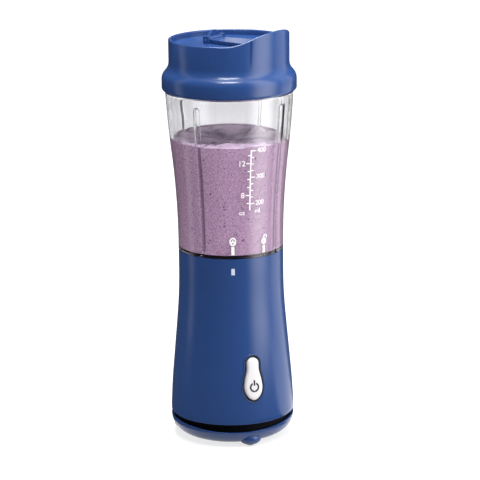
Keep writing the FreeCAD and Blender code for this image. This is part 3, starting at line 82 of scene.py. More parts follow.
# %% Define the graph helpers
class Wire:
    """One value between nodes; Python's operators add the Math node for them."""

    def __init__(self, graph, socket):
        self.graph, self.socket = graph, socket

    def maths(self, operation, *others):
        """Send this wire, and others after it, through a Math node."""
        return self.graph.node("ShaderNodeMath", {"operation": operation}, dict(enumerate((self, *others))))

    def __add__(self, other):
        return self.maths("ADD", other)

    def __mul__(self, other):
        return self.maths("MULTIPLY", other)

    def __sub__(self, other):
        return self.maths("SUBTRACT", other)

    def __truediv__(self, other):
        return self.maths("DIVIDE", other)

    def __rtruediv__(self, other):
        return self.graph.node("ShaderNodeMath", {"operation": "DIVIDE"}, {0: other, 1: self})

    def __mod__(self, other):
        return self.maths("FLOORED_MODULO", other)

    def other(self, output):
        """Another output of the node that this wire leaves."""
        return Wire(self.graph, self.socket.node.outputs[output])


class Graph:
    """A node tree under construction."""

    def __init__(self, tree):
        self.tree = tree

    def node(self, kind, settings=None, sockets=None, output=0):
        """Add a node: set it up, fill its sockets with values or wires, and return one output."""
        made = self.tree.nodes.new(kind)
        for name, value in (settings or {}).items():
            setattr(made, name, value)
        for name, value in (sockets or {}).items():
            if isinstance(value, Wire):
                self.tree.links.new(value.socket, made.inputs[name])
            else:
                made.inputs[name].default_value = value
        return Wire(self, made.outputs[output])

    def ramped(self, value, start, end, low=1.0, high=0.0, kind="LINEAR"):
        """A number that runs from low to high while the value runs from start to end."""
        return self.node("ShaderNodeMapRange", {"interpolation_type": kind}, {
            "Value": value, "From Min": start, "From Max": end, "To Min": low, "To Max": high})

    def split(self, vector):
        """Three wires: the x, y and z of a vector."""
        x = self.node("ShaderNodeSeparateXYZ", sockets={0: vector})
        return x, x.other("Y"), x.other("Z")


class Finish(Graph):
    """A material with one Principled shader, whose own sockets hold what is the same all over."""

    def __init__(self, name, colour, roughness, **constants):
        self.material = bpy.data.materials.new(name)
        self.material.use_nodes = True
        super().__init__(self.material.node_tree)
        self.skin = self.tree.nodes["Principled BSDF"]
        self.skin.inputs["Base Color"].default_value = (*colour, 1)
        self.skin.inputs["Roughness"].default_value = roughness
        for socket, value in constants.items():
            self.skin.inputs[socket.replace("_", " ")].default_value = value
        self.place = self.node("ShaderNodeTexCoord", output="Object")

    def feed(self, socket, wire):
        self.tree.links.new(wire.socket, self.skin.inputs[socket])

    def cloud(self, size, detail=2.0, stretch=(1, 1, 1)):
        """Soft random patches of about one size in metres, from 0 to 1, drawn out along an axis."""
        scale = tuple(1 / (size * factor) for factor in stretch)
        place = self.node("ShaderNodeMapping", sockets={"Vector": self.place, "Scale": scale})
        return self.node("ShaderNodeTexNoise", sockets={"Vector": place, "Scale": 1.0, "Detail": detail})

    def mix(self, share, low, high):
        """A colour between two colours."""
        low, high = (end if isinstance(end, Wire) else (*end, 1) for end in (low, high))
        return self.node("ShaderNodeMix", {"data_type": "RGBA"}, {0: share, 6: low, 7: high}, output=2)

    def bump(self, height, distance, strength=1.0):
        self.feed("Normal", self.node("ShaderNodeBump", sockets={
            "Height": height, "Distance": distance, "Strength": strength}))


def new_piece(name, data):
    """An object in the scene that shows a mesh, a curve or a lamp."""
    piece = bpy.data.objects.new(name, data)
    bpy.context.scene.collection.objects.link(piece)
    return piece


def raw_piece(name, verts, faces, edges=()):
    """An object from points in metres."""
    mesh = bpy.data.meshes.new(name)
    mesh.from_pydata([Vector(point) for point in verts], edges, faces)
    return new_piece(name, mesh)


class Recipe(Graph):
    """A Geometry Nodes tree with named inputs that works on a path or a profile drawn by the script."""

    def __init__(self, name, **sizes):
        super().__init__(bpy.data.node_groups.new(name, "GeometryNodeTree"))
        self.sizes = sizes
        self.tree.interface.new_socket("Geometry", in_out="OUTPUT", socket_type="NodeSocketGeometry")
        self.tree.interface.new_socket("Geometry", in_out="INPUT", socket_type="NodeSocketGeometry")
        for label, value in sizes.items():
            kind = "NodeSocketInt" if isinstance(value, int) else "NodeSocketFloat"
            self.tree.interface.new_socket(label, in_out="INPUT", socket_type=kind)
        self.inlet = self.tree.nodes.new("NodeGroupInput")
        self.outlet = self.tree.nodes.new("NodeGroupOutput")

    def size(self, label):
        return Wire(self, self.inlet.outputs[label])

    def vector(self, x=0.0, y=0.0, z=0.0):
        return self.node("ShaderNodeCombineXYZ", sockets={0: x, 1: y, 2: z})

    def make(self, name, geometry, material, points=(), edges=(), facts=None):
        """Run the tree once on points, which may carry facts, and keep the result as a plain mesh."""
        solid = self.node("GeometryNodeRealizeInstances", sockets={0: geometry})
        done = self.node("GeometryNodeSetMaterial", sockets={"Geometry": solid, "Material": material})
        self.tree.links.new(done.socket, self.outlet.inputs[0])
        carrier = raw_piece(name, points, (), edges)
        for label, values in (facts or {}).items():
            carrier.data.attributes.new(label, "FLOAT", "POINT").data.foreach_set("value", values)
        modifier = carrier.modifiers.new("recipe", "NODES")
        modifier.node_group = self.tree
        for item in self.tree.interface.items_tree:
            if item.in_out == "INPUT" and item.name in self.sizes:
                modifier[item.identifier] = self.sizes[item.name]
        seen = carrier.evaluated_get(bpy.context.evaluated_depsgraph_get())
        mesh = bpy.data.meshes.new_from_object(seen)
        carrier.modifiers.clear()
        carrier.data = mesh
        print(name, "made by the recipe", self.tree.name, "-", len(mesh.polygons), "faces")
        return carrier


print("helpers ready")

# %% [markdown]
# ## Finishes
# Satin moulded plastic isn't mirror smooth: its gloss wanders a little, and a very fine grain scatters
# the highlight. One flat colour would look like a screen; patches about two centimetres wide, a few per
# cent lighter or darker, are enough to make it a moulding.

# %% Mix the plastics
GRAIN, PATCH, WANDER = 0.35 * MM, 20 * MM, 0.03


def moulded(name, colour, roughness, grain=GRAIN, depth=0.000004, **constants):
    """Moulded plastic: a small wander in colour and gloss, and the fine grain of the mould."""
    finish = Finish(name, colour, roughness, **constants)
    patches = finish.cloud(PATCH)
    darker, lighter = ([min(c * share, 1) for c in colour] for share in (1 - WANDER, 1 + WANDER))
    finish.feed("Base Color", finish.mix(patches, darker, lighter))
    finish.feed("Roughness", patches * WANDER + (roughness - WANDER / 2))
    finish.bump(finish.cloud(grain, 1.0), depth)
    return finish.material


BLUE = (0.021, 0.061, 0.208)
blue_plastic = moulded("blue_plastic", BLUE, 0.22, Specular_IOR_Level=0.5)
black_plastic = moulded("black_plastic", (0.0015, 0.002, 0.004), 0.55, Specular_IOR_Level=0.12)
grey_plastic = moulded("grey_plastic", (0.26, 0.26, 0.28), 0.5)
white_plastic = moulded("white_plastic", (0.75, 0.75, 0.72), 0.45)
silver_plastic = moulded("silver_plastic", (0.80, 0.78, 0.80), 0.38)
grey_rubber = moulded("grey_rubber", (0.10, 0.10, 0.11), 0.7, depth=0.00001)
black_rubber = moulded("black_rubber", (0.016, 0.016, 0.017), 0.68, depth=0.00001)
clear_silicone = moulded("clear_silicone", (0.72, 0.73, 0.74), 0.4)
carbon = moulded("carbon", (0.02, 0.02, 0.02), 0.6, grain=0.0002, depth=0.00001)
print("plastics: grain", round(GRAIN / MM, 2), "mm")

# %% [markdown]
# Metals get the marks of how they were made: lines round a turned shaft, lines along a ground blade,
# sheets in a laminated core, turns of wire in a coil. Noise that is stretched along the tool's path
# draws them all, and each finish keeps its marks at their real size.

# %% Mix the metals
def metal(name, colour, roughness, size, stretch, depth=0.000003, swing=0.12):
    """Bare metal with fine marks: patches of one size in metres, drawn out along the tool's path."""
    finish = Finish(name, colour, roughness, Metallic=1.0)
    marks = finish.cloud(size, 3.0, stretch)
    finish.feed("Base Color", finish.mix(marks, [c * 0.85 for c in colour], colour))
    finish.feed("Roughness", marks * swing + (roughness - swing / 2))
    finish.bump(marks, depth)
    return finish.material


zinc_steel = metal("zinc_steel", (0.62, 0.62, 0.60), 0.38, 0.001, (1, 1, 1))
shaft_steel = metal("shaft_steel", (0.66, 0.66, 0.67), 0.25, 0.0002, (12, 12, 1))
blade_steel = metal("blade_steel", (0.70, 0.70, 0.71), 0.28, 0.0003, (20, 1, 1))
core_steel = metal("core_steel", (0.30, 0.30, 0.31), 0.5, 0.0005, (60, 60, 1), depth=0.00004)
bracket_aluminium = metal("bracket_aluminium", (0.70, 0.70, 0.71), 0.45, 0.0006, (1, 1, 1), 0.00001)
bronze = metal("bronze", (0.48, 0.29, 0.12), 0.45, 0.0003, (1, 1, 1), depth=0.00001)
copper_wire = metal("copper_wire", (0.55, 0.17, 0.06), 0.3, 0.0005, (30, 1, 1), depth=0.0001)
copper_bars = metal("copper_bars", (0.72, 0.34, 0.18), 0.3, 0.0003, (14, 14, 1))
print("metals ready, from", zinc_steel.name, "to", copper_bars.name)

# %% [markdown]
# ## Dress the CAD nodes
# Most nodes already have their right shape, so they only take a finish. A part that is hidden inside
# the base still gets its own metal or plastic, because the model can be taken apart.

# %% Give every node its finish
NODE_FINISH = {
    blue_plastic: ["base_housing", "bottom_cover", "lid_shell", "flip_cap"],
    black_plastic: ["vent_ring", "motor_coupling", "power_switch", "brush_holders", "cooling_fan"],
    grey_plastic: ["jar_well"],
    white_plastic: ["jar_coupling", "blade_hub", "hub_nut", "drink_hole_plug"],
    silver_plastic: ["power_button"],
    grey_rubber: ["foot_pads", "motor_mounts"],
    black_rubber: ["cord_grommet", "shaft_seal"],
    clear_silicone: ["lid_gasket", "hub_gasket"],
    zinc_steel: ["cover_screws", "well_screws", "mount_screws", "field_bolts"],
    shaft_steel: ["rotor_shaft", "blade_shaft", "blade_spacer", "cap_hinge_pin"],
    blade_steel: ["lower_blades", "upper_blades", "blade_nut"],
    core_steel: ["field_core", "armature_core"],
    bracket_aluminium: ["upper_bracket", "lower_bracket"],
    bronze: ["upper_bearing", "lower_bearing", "shaft_bushing"],
    copper_wire: ["field_coils", "armature_windings"],
    copper_bars: ["commutator"],
    carbon: ["carbon_brushes"],
}


def wear(piece, material):
    piece.data.materials.clear()
    piece.data.materials.append(material)
    return piece


for material, names in NODE_FINISH.items():
    for name in names:
        wear(nodes[name], material)
print("nodes with a finish:", sum(len(names) for names in NODE_FINISH.values()), "of", len(nodes))

# %% [markdown]
# ## The clear jar
# The jar is blow-clear plastic: rays pass through it, bend at its faces and pick up dark lines at its
# edges. Shadow rays go straight through it, so that the drink inside is lit as it would be by a strong
# lamp, without the grain of bent light.

# %% Make the clear plastic
# Heights of the painted shade in the jar's foot: fully dark below the first, clear above the second.
FOOT_SHADE_FULL, FOOT_SHADE_GONE = 142.1 * MM, 142.8 * MM


def clear_plastic():
    """Clear plastic with painted shade in the jar's foot, for the shadowed gap and the dark well of the base.
    """
    finish = Finish("clear_plastic", (0.965, 0.965, 0.98), 0.02, Transmission_Weight=1.0, IOR=1.46,
                    Coat_Weight=0.7, Coat_Roughness=0.4)
    finish.feed("Roughness", finish.cloud(0.015) * 0.02 + 0.01)
    height = finish.split(finish.place)[2]
    # Painted shade: the colour turns nearly black towards the jar's foot, standing in for the shadowed gap
    # above the base.
    unshaded_share = finish.ramped(height, FOOT_SHADE_FULL, FOOT_SHADE_GONE, 0.0, 1.0)
    finish.feed("Base Color", finish.mix(unshaded_share, (0.03, 0.018, 0.045), (0.875, 0.872, 0.893)))
    tree = finish.tree
    shadow = finish.node("ShaderNodeLightPath", output="Is Shadow Ray")
    through = finish.node("ShaderNodeBsdfTransparent", sockets={"Color": (0.92, 0.92, 0.94, 1)})
    blend = finish.node("ShaderNodeMixShader", sockets={0: shadow, 2: through})
    tree.links.new(finish.skin.outputs[0], blend.socket.node.inputs[1])
    tree.links.new(blend.socket, tree.nodes["Material Output"].inputs["Surface"])
    return finish.material


jar_plastic = clear_plastic()
wear(nodes["jar"], jar_plastic)
print("clear plastic ready, dark up to", round(FOOT_SHADE_FULL / MM, 1), "mm")

# %% [markdown]
# ## The blue shells
# The CAD meshes are loose flat triangles, which show as facets in a glossy finish. A copy whose doubles
# are merged can be shaded smooth, except at edges that are sharper than a corner angle. The copy then
# stands for its node, which stays for collision, hidden.

# %% Smooth the blue shells
DOUBLES, CORNER = 1e-6, 35.0


def soften(shape, corner):
    """Shade a shape smooth, but keep every edge sharp that is steeper than the corner angle."""
    for face in shape.faces:
        face.smooth = True
    for edge in shape.edges:
        edge.smooth = len(edge.link_faces) == 2 and edge.calc_face_angle(0) < math.radians(corner)


def smooth_copy(name, node_name):
    """A merged and smooth copy of a CAD node."""
    shape = bmesh.new()
    shape.from_mesh(nodes[node_name].data)
    bmesh.ops.remove_doubles(shape, verts=shape.verts, dist=DOUBLES)
    soften(shape, CORNER)
    mesh = bpy.data.meshes.new(name)
    shape.to_mesh(mesh)
    shape.free()
    return new_piece(name, mesh)


def dress(piece, material, body, replaced=()):
    """Give a finished piece its material, its body and the nodes that it stands for."""
    wear(piece, material)
    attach(piece, body)
    if replaced:
        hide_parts(*replaced)
    print(piece.name, len(piece.data.polygons), "faces")
    return piece


SMOOTHED = (("housing_shell", "base_housing", "base"), ("cover_bowl", "bottom_cover", "base"),
            ("lid_cover", "lid_shell", "lid"), ("drinking_cap", "flip_cap", "flip_cap"))
for piece_name, node_name, body in SMOOTHED:
    dress(smooth_copy(piece_name, node_name), blue_plastic, body, [node_name])

# %% [markdown]
# ## Turning a profile into a shell
# The jar, the drink and the housing are all turned shapes: one side line, swept round the upright axis.
# The line is built the way a drafter draws it, with arcs that leave the run before them smoothly. A
# turned shape can still carry ribs and grooves, because each point's radius may depend on its angle.

# %% Define the side line and the turned shell
class SideLine:
    """A side line of (radius, height) points in millimetres, drawn with straight runs and tangent arcs."""

    def __init__(self, radius, height, heading=90.0):
        self.points, self.heading = [(radius, height)], math.radians(heading)

    def straight(self, radius, height, steps=1):
        (r0, z0) = self.points[-1]
        self.heading = math.atan2(height - z0, radius - r0)
        self.points += [(r0 + (radius - r0) * k / steps, z0 + (height - z0) * k / steps)
                        for k in range(1, steps + 1)]
        return self

    def arc(self, radius, height, steps):
        (r0, z0) = self.points[-1]
        chord = math.hypot(radius - r0, height - z0)
        lean = math.remainder(math.atan2(height - z0, radius - r0) - self.heading, 2 * math.pi)
        for k in range(1, steps + 1):
            part = lean * k / steps
            reach, turn = chord * math.sin(part) / math.sin(lean), self.heading + part
            self.points.append((r0 + reach * math.cos(turn), z0 + reach * math.sin(turn)))
        self.heading += 2 * lean
        return self


def tidied(piece, corner=CORNER, merge=DOUBLES):
    """Merge a piece's doubles, turn its faces outwards and smooth every edge flatter than the corner."""
    shape = bmesh.new()
    shape.from_mesh(piece.data)
    bmesh.ops.remove_doubles(shape, verts=shape.verts, dist=merge)
    bmesh.ops.dissolve_degenerate(shape, edges=shape.edges, dist=merge)
    bmesh.ops.recalc_face_normals(shape, faces=shape.faces)
    soften(shape, corner)
    shape.to_mesh(piece.data)
    shape.free()
    return piece


def add_piece(name, verts, faces, corner=CORNER):
    """A closed smooth mesh object from points in metres."""
    return tidied(raw_piece(name, verts, faces), corner)


def bands(rings, around, first=0, loop=False):
    """The faces between rings of vertices; a loop also joins the last ring to the first."""
    faces = []
    for ring in range(rings if loop else rings - 1):
        low, high = first + ring * around, first + (ring + 1) % rings * around
        for left in range(around):
            right = (left + 1) % around
            faces.append((low + left, low + right, high + right, high + left))
    return faces


def turned(name, rows, angles, corner=CORNER):
    """A turned shell: rows of (radius, height) or of functions of the angle, one vertex for each angle."""
    verts = []
    for row in rows:
        for angle in angles:
            radius, height = row(angle) if callable(row) else row
            verts.append((radius * MM * math.cos(angle), radius * MM * math.sin(angle), height * MM))
    return add_piece(name, verts, bands(len(rows), len(angles), loop=True), corner)


print("turning tools ready")

# %% [markdown]
# ## The jar's wall
# Four upright ribs stand inside the jar and stir the drink back into the blades. Outside, each rib
# shows as a shallow groove with a round top. Both are worked into the radius: a point near a rib's
# centre line moves inwards, with a soft step at the rib's sides, so the clear wall has no hard edges.

# %% Shape the jar
SEAT, JAR_HEEL, NECK_LEDGE, JAR_RIM = 141.3, 143.6, 257.4, 269.6
RIB_ANGLES = [math.radians(37 + 90 * number) for number in range(4)]
RIB_TOP, RIB_FOOT = 251.5, (SEAT + 2.6, SEAT + 5)
GROOVE_DEPTH, GROOVE_HALF, GROOVE_EDGE = 1.3, 1.6, 1.0
RIB_DEPTH, RIB_HALF, RIB_EDGE = 1.9, 2.2, 0.9


def soft_step(value, start, end):
    share = min(max((value - start) / (end - start), 0), 1)
    return share * share * (3 - 2 * share)


def near_rib(angle, height, radius, half, edge):
    """How far inside an upright bar with a round top a point of the wall is, from 0 to 1."""
    gap = min(abs(math.remainder(angle - rib, 2 * math.pi)) for rib in RIB_ANGLES) * radius
    gap = math.hypot(gap, max(height - (RIB_TOP - half), 0))
    return 1 - soft_step(gap, half - edge, half)


def ribbed(radius, height, angle):
    """The inner wall's radius at an angle, less the rib's depth there."""
    depth = RIB_DEPTH * soft_step(height, *RIB_FOOT)
    return radius - depth * near_rib(angle, height, radius, RIB_HALF, RIB_EDGE)


rib_fan = np.concatenate([rib + np.radians(np.linspace(-7, 7, 29)) for rib in RIB_ANGLES])
between = np.concatenate([rib + np.radians(np.linspace(7, 83, 27)[1:-1]) for rib in RIB_ANGLES])
wall_angles = sorted(float(angle) % (2 * math.pi) for angle in np.concatenate([rib_fan, between]))
outer_line = SideLine(38.35, SEAT).straight(38.35, 143.9, 2).arc(42.6, 215, 24).arc(46.2, 257, 42)
inner_line = SideLine(36, JAR_HEEL).arc(40.3, 215, 24).straight(42.4, 247, 12).straight(42.4, 251.6, 12)
inner_line.straight(42.0, NECK_LEDGE)
jar_foot = [(10.9, 134.0), (29.2, 134.0), (29.5, 133.7), (29.5, 123.5), (29.7, 123.3), (31.6, 123.3),
            (31.8, 123.5), (31.8, SEAT), (38.1, SEAT)]
jar_neck = [(45.8, NECK_LEDGE), (44.2, NECK_LEDGE), (43.9, NECK_LEDGE + 0.3), (43.9, JAR_RIM - 0.4),
            (43.5, JAR_RIM), (42.4, JAR_RIM), (42.0, JAR_RIM - 0.4)]
jar_floor = [(29.7, 144.1), (29.5, 143.8), (29.5, 137.0), (29.0, 136.5), (10.9, 136.5)]


def with_rib(points, depth=0.0, half=GROOVE_HALF, edge=GROOVE_EDGE):
    """Profile points in metres, each with the depth, half width and soft edge of its groove or rib."""
    return [(radius * MM, height * MM, depth * MM, half * MM, edge * MM) for radius, height in points]


profile = with_rib(jar_foot) + with_rib(outer_line.points, GROOVE_DEPTH) + with_rib(jar_neck)
for radius, height in reversed(inner_line.points):
    depth = RIB_DEPTH * soft_step(height, *RIB_FOOT)
    profile += with_rib([(radius, height)], depth, RIB_HALF, RIB_EDGE)
profile += with_rib(jar_floor) + with_rib(jar_foot[:1])
print("profile points:", len(profile))

# %% [markdown]
# The recipe lays a sheet of points, one column for each angle and one row for each profile point. Every
# point looks its row up in the profile, which carries the depth, half width and edge of the groove or
# rib there. The columns crowd together at the ribs, where the wall bends most.

# %% Write the recipe of a ribbed turned wall
JAR_COLUMNS = 257
jar_recipe = Recipe("ribbed_wall", Columns=JAR_COLUMNS, Rows=len(profile), Ribs=4, First_Rib=RIB_ANGLES[0],
                    Crowding=0.8, Rib_Top=RIB_TOP * MM)
rows, ribs, first_rib = (jar_recipe.size(label) for label in ("Rows", "Ribs", "First_Rib"))
sheet = jar_recipe.node("GeometryNodeMeshGrid", sockets={
    "Vertices X": jar_recipe.size("Columns"), "Vertices Y": rows})
index = jar_recipe.node("GeometryNodeInputIndex")
row = index % rows
even = (index - row) / rows * (2 * math.pi) / (jar_recipe.size("Columns") - 1)
swing = (even - first_rib) * ribs
angle = even - swing.maths("SINE") * jar_recipe.size("Crowding") / ribs


def looked_up(value, kind):
    """A fact of the profile point that belongs to this row."""
    return jar_recipe.node("GeometryNodeSampleIndex", {"data_type": kind, "domain": "POINT"}, {
        "Geometry": jar_recipe.size("Geometry"), "Value": value, "Index": row})


place = looked_up(jar_recipe.node("GeometryNodeInputPosition"), "FLOAT_VECTOR")
reach, _, height = jar_recipe.split(place)
depth, half, edge = (looked_up(jar_recipe.node(
    "GeometryNodeInputNamedAttribute", {"data_type": "FLOAT"}, {"Name": label}), "FLOAT")
    for label in ("depth", "half", "edge"))
turn = angle - first_rib
aside = turn.maths("WRAP", math.pi / ribs, -math.pi / ribs) * reach
above = height - (jar_recipe.size("Rib_Top") - half)
above = above.maths("MAXIMUM", 0.0)
gap = aside * aside + above * above
near = jar_recipe.ramped(gap.maths("SQRT"), half - edge, half, kind="SMOOTHSTEP")
radius = reach - depth * near
spot = jar_recipe.vector(radius * angle.maths("COSINE"), radius * angle.maths("SINE"), height)
wall = jar_recipe.node("GeometryNodeSetPosition", sockets={"Geometry": sheet, "Position": spot})
facts = {label: [point[number] for point in profile]
         for number, label in ((2, "depth"), (3, "half"), (4, "edge"))}
jar_body = jar_recipe.make("jar_body", wall, jar_plastic, [(r, 0, z) for r, z, *_ in profile], facts=facts)
dress(tidied(jar_body, corner=50), jar_plastic, "jar", ["jar"])

# %% [markdown]
# ## The drink
# The drink is a solid of its own that fills the jar to its 400 ml mark. Its side follows the jar's inner
# wall and is sunk into it by a tenth of a millimetre, so that no film of air is left between them. Its
# top is stirred: higher at the back, with a hollow in the middle, a curl and thick folds. A dome is left
# open over the blades, where nobody can see it, so that they can turn freely.

# %% Shape the drink
FILL, SUNK = 222.0, 0.1
HEAP, HOLLOW_DEPTH, CURL, FOLDS = 1.7, 3.6, 1.1, 2.2
SIDE_ROWS, TOP_ROWS = 41, 46


def stirred(radius, angle, wall):
    """The height of the drink's top at a radius and an angle."""
    x, y = radius * math.cos(angle), radius * math.sin(angle)
    folds = FOLDS * noise.fractal(Vector((x * 0.06 + 3, y * 0.11, 2.0)), 0.9, 2.1, 4)
    curl = math.sin(2 * (angle + radius * 0.09)) * soft_step(radius, 3, 14) * (1 - soft_step(radius, 26, 38))
    hollow = HOLLOW_DEPTH * (1 - soft_step(radius, 6, 30))
    edge = soft_step(radius, wall - 2.2, wall)
    heap = HEAP * (math.sin(angle) * radius / wall + 1)
    wave = 0.5 * edge + 0.25 * math.sin(3 * angle)
    return FILL + heap - hollow + (CURL * curl + folds) * (1 - edge) + wave


def drink_wall(angle, height):
    """The radius of the drink's side."""
    radius = float(np.interp(height, [z for r, z in inner_line.points], [r for r, z in inner_line.points]))
    return ribbed(radius + SUNK, height, angle)


def drink_row(share):
    """One row of the side; its height runs from the heel to the uneven top."""
    def at(angle):
        wall = drink_wall(angle, FILL)
        height = JAR_HEEL + share * (stirred(wall, angle, wall) - JAR_HEEL)
        return drink_wall(angle, height), height
    return at


def top_row(share):
    """One row of the top, at a share of the way from the middle to the wall."""
    def at(angle):
        wall = drink_wall(angle, FILL)
        return wall * share, stirred(wall * share, angle, wall)
    return at


blade_dome = [(0, 166), (12, 166), (22, 165.2), (25.6, 162), (26, 158), (26, 148), (15, 147.4), (15, 136.7)]
drink_rows = blade_dome + [(29.3, 136.7), (29.5, 143.9)]
drink_rows += [drink_row(share) for share in np.linspace(0, 1, SIDE_ROWS)]
drink_rows += [top_row(share) for share in np.linspace(0.985, 0, TOP_ROWS)]
fruit_drink = turned("fruit_drink", drink_rows, wall_angles, corner=60)
print("rows of the drink:", len(drink_rows))

# %% [markdown]
# Its colour is laid in layers. Pulp about a millimetre wide speckles everything. The top is pale with foam
# towards the wall and dark in its hollow, which stands a little to one side; that dark is partly a dark swirl
# and partly painted shade in the hollow. Beside each rib runs a painted shade line with a painted highlight
# beside it, which stand in for the light that the thick clear rib bends. Last come bits of skin and seed: the
# cells of a Voronoi pattern each draw a number, and only where it is high does a cell show its fleck.

# %% Mix the drink
PULP = (0.27, 0.15, 0.265), (0.47, 0.32, 0.44)
# The dark colours of the hollow and beside the ribs are painted shade, and the pale one beside the ribs a
# painted highlight.
HOLLOW_SHADE_AND_SWIRL, FOAM, FROTH = (0.10, 0.02, 0.13), (0.88, 0.66, 0.85), (0.80, 0.62, 0.78)
RIB_SHADE, RIB_PAINTED_HIGHLIGHT = (0.10, 0.05, 0.12), (0.72, 0.58, 0.70)
HOLLOW_PLACE, TOP_FROM, WALL_INSIDE = (-3 * MM, 2 * MM), (214 * MM, 215.5 * MM), (36.5 * MM, 38.5 * MM)


def flecks(finish, body, scale, channel, spread, least, strength, colour):
    """Flecks of a colour, one at most in each cell of a pattern, of sizes that its random colour sets."""
    cell = finish.node("ShaderNodeTexVoronoi", {"feature": "F1"}, {"Vector": finish.place, "Scale": scale})
    luck = finish.node("ShaderNodeSeparateColor", sockets={0: cell.other("Color")}, output=channel)
    return finish.mix(cell.maths("LESS_THAN", luck * spread - least) * strength, body, colour)


def drink_finish():
    """A thick fruit drink, from pulp to flecks."""
    finish = Finish("drink", (0.38, 0.22, 0.35), 0.5, Specular_IOR_Level=0.35)
    east, north, height = finish.split(finish.place)

    def reach_from(x, y):
        across, along = east - x, north - y
        square = across * across + along * along
        return square.maths("SQRT")

    pulp = finish.cloud(1.1 * MM, 3.0)
    pulp_share = finish.ramped(pulp, 0.3, 0.7, 0.0, 1.0)
    swirl = finish.cloud(12 * MM, 4.0, (1.6, 1, 0.7))
    # Painted shade: the top turns nearly black in its hollow, partly a dark swirl and partly the hollow's
    # shade.
    foam = finish.ramped(swirl * 2.2 + reach_from(*HOLLOW_PLACE) * 22.0, 1.15, 1.75, 0.0, 1.0)
    top = finish.mix(pulp_share * 0.25, finish.mix(foam, HOLLOW_SHADE_AND_SWIRL, FOAM), FROTH)
    on_top = finish.ramped(height, *TOP_FROM, 0.0, 0.95) * finish.ramped(reach_from(0.0, 0.0), *WALL_INSIDE)
    body = finish.mix(on_top, finish.mix(pulp_share, *PULP), top)

    # Painted shade and painted highlight: a dark line beside each rib and a pale one at its side stand in for
    # the light that the clear rib bends.
    turn = north.maths("ARCTAN2", east) - RIB_ANGLES[0]
    beside = turn.maths("WRAP", math.pi / 4, -math.pi / 4) * (42 * MM)
    highlight_offset = beside - 2.2 * MM
    shaded = finish.ramped(beside.maths("ABSOLUTE"), 0.6 * MM, 1.8 * MM, 0.6)
    highlight_share = finish.ramped(highlight_offset.maths("ABSOLUTE"), 0.1 * MM, 0.5 * MM, 0.45)
    body = finish.mix(highlight_share, finish.mix(shaded, body, RIB_SHADE), RIB_PAINTED_HIGHLIGHT)

    body = flecks(finish, body, 240.0, 0, 0.42, 0.2, 0.8, (0.05, 0.02, 0.07))
    body = flecks(finish, body, 520.0, 1, 0.6, 0.25, 0.5, (0.08, 0.04, 0.10))
    finish.feed("Base Color", body)
    finish.feed("Roughness", pulp * 0.2 + 0.4)
    finish.bump(pulp, 0.2 * MM, 0.6)
    return finish.material


dress(fruit_drink, drink_finish(), "jar")

# %% [markdown]
# ## The neck's thread
# The lid screws onto two ridges that climb the neck, half a turn each. A ridge is a short rod swept
# along a helix and sunk into the neck. One recipe makes the helix and repeats it for the second start.

# %% Sweep the thread
neck_thread = Recipe("neck_thread", Starts=2, Turns=0.5, Rise=4.5 * MM, Radius=44.35 * MM, Thick=0.85 * MM,
                     Foot=(NECK_LEDGE + 3.7) * MM)
helix = neck_thread.node("GeometryNodeCurveSpiral", sockets={
    "Resolution": 96, "Rotations": neck_thread.size("Turns"), "Start Radius": neck_thread.size("Radius"),
    "End Radius": neck_thread.size("Radius"), "Height": neck_thread.size("Rise")})
section = neck_thread.node("GeometryNodeCurvePrimitiveCircle", {"mode": "RADIUS"}, {
    "Resolution": 10, "Radius": neck_thread.size("Thick")})
ridge = neck_thread.node("GeometryNodeCurveToMesh", sockets={
    "Curve": helix, "Profile Curve": section, "Fill Caps": True})
starts = neck_thread.node("GeometryNodeMeshLine", sockets={
    "Count": neck_thread.size("Starts"), "Start Location": neck_thread.vector(z=neck_thread.size("Foot")),
    "Offset": (0.0, 0.0, 0.0)})
half_turn = 2 * math.pi / neck_thread.size("Starts")
facing = neck_thread.vector(z=neck_thread.node("GeometryNodeInputIndex") * half_turn)
ridges = neck_thread.node("GeometryNodeInstanceOnPoints", sockets={
    "Points": starts, "Instance": ridge, "Rotation": facing})
FINE_DOUBLES = 1e-7
neck_ridges = tidied(neck_thread.make("neck_ridges", ridges, jar_plastic), merge=FINE_DOUBLES)
dress(neck_ridges, jar_plastic, "jar")

# %% [markdown]
# ## Printed marks
# The white scale, the numbers and the two padlock signs are pad-printed on the jar: a film of ink that
# follows the curved wall. Each mark is drawn flat first, 0.15 mm thick, and then wrapped round the jar,
# its distance to the side becoming an arc. Half the thickness is sunk into the wall. The flat frame has
# its origin straight above the button, with x to the right and z up, and the ink grows towards -Y.

# %% Mix the inks and wrap flat marks
INK, BOLDER = 0.15, 0.04
FILM = {"grain": 0.4 * MM, "depth": 0.000002}
white_ink = moulded("white_ink", (0.97, 0.95, 0.97), 0.55, **FILM)
dark_ink = moulded("dark_ink", (0.008, 0.005, 0.01), 0.6, **FILM)
silver_ink = moulded("silver_ink", (0.62, 0.68, 0.80), 0.45, **FILM)


def line_radius(line, extra=0.0):
    """A function from a height in metres to the radius of a side line there, in metres."""
    heights, radii = zip(*sorted((z, r) for r, z in line.points))
    return lambda height: (float(np.interp(height / MM, heights, radii)) + extra) * MM


def wrapped(piece, radius_at):
    """Bend a flat piece round the upright axis: x becomes an arc, and -y stands out of the surface."""
    for vertex in piece.data.vertices:
        x, y, z = vertex.co
        radius = radius_at(z)
        vertex.co = ((radius - y) * math.sin(x / radius), (y - radius) * math.cos(x / radius), z)
    return piece


def stand_up(mesh, x=0.0, z=0.0):
    """Stand a mesh that was drawn on the floor upright, so that it faces -Y, and put it in its place."""
    for vertex in mesh.vertices:
        vertex.co = (vertex.co.x + x * MM, -vertex.co.z, vertex.co.y + z * MM)
    return mesh


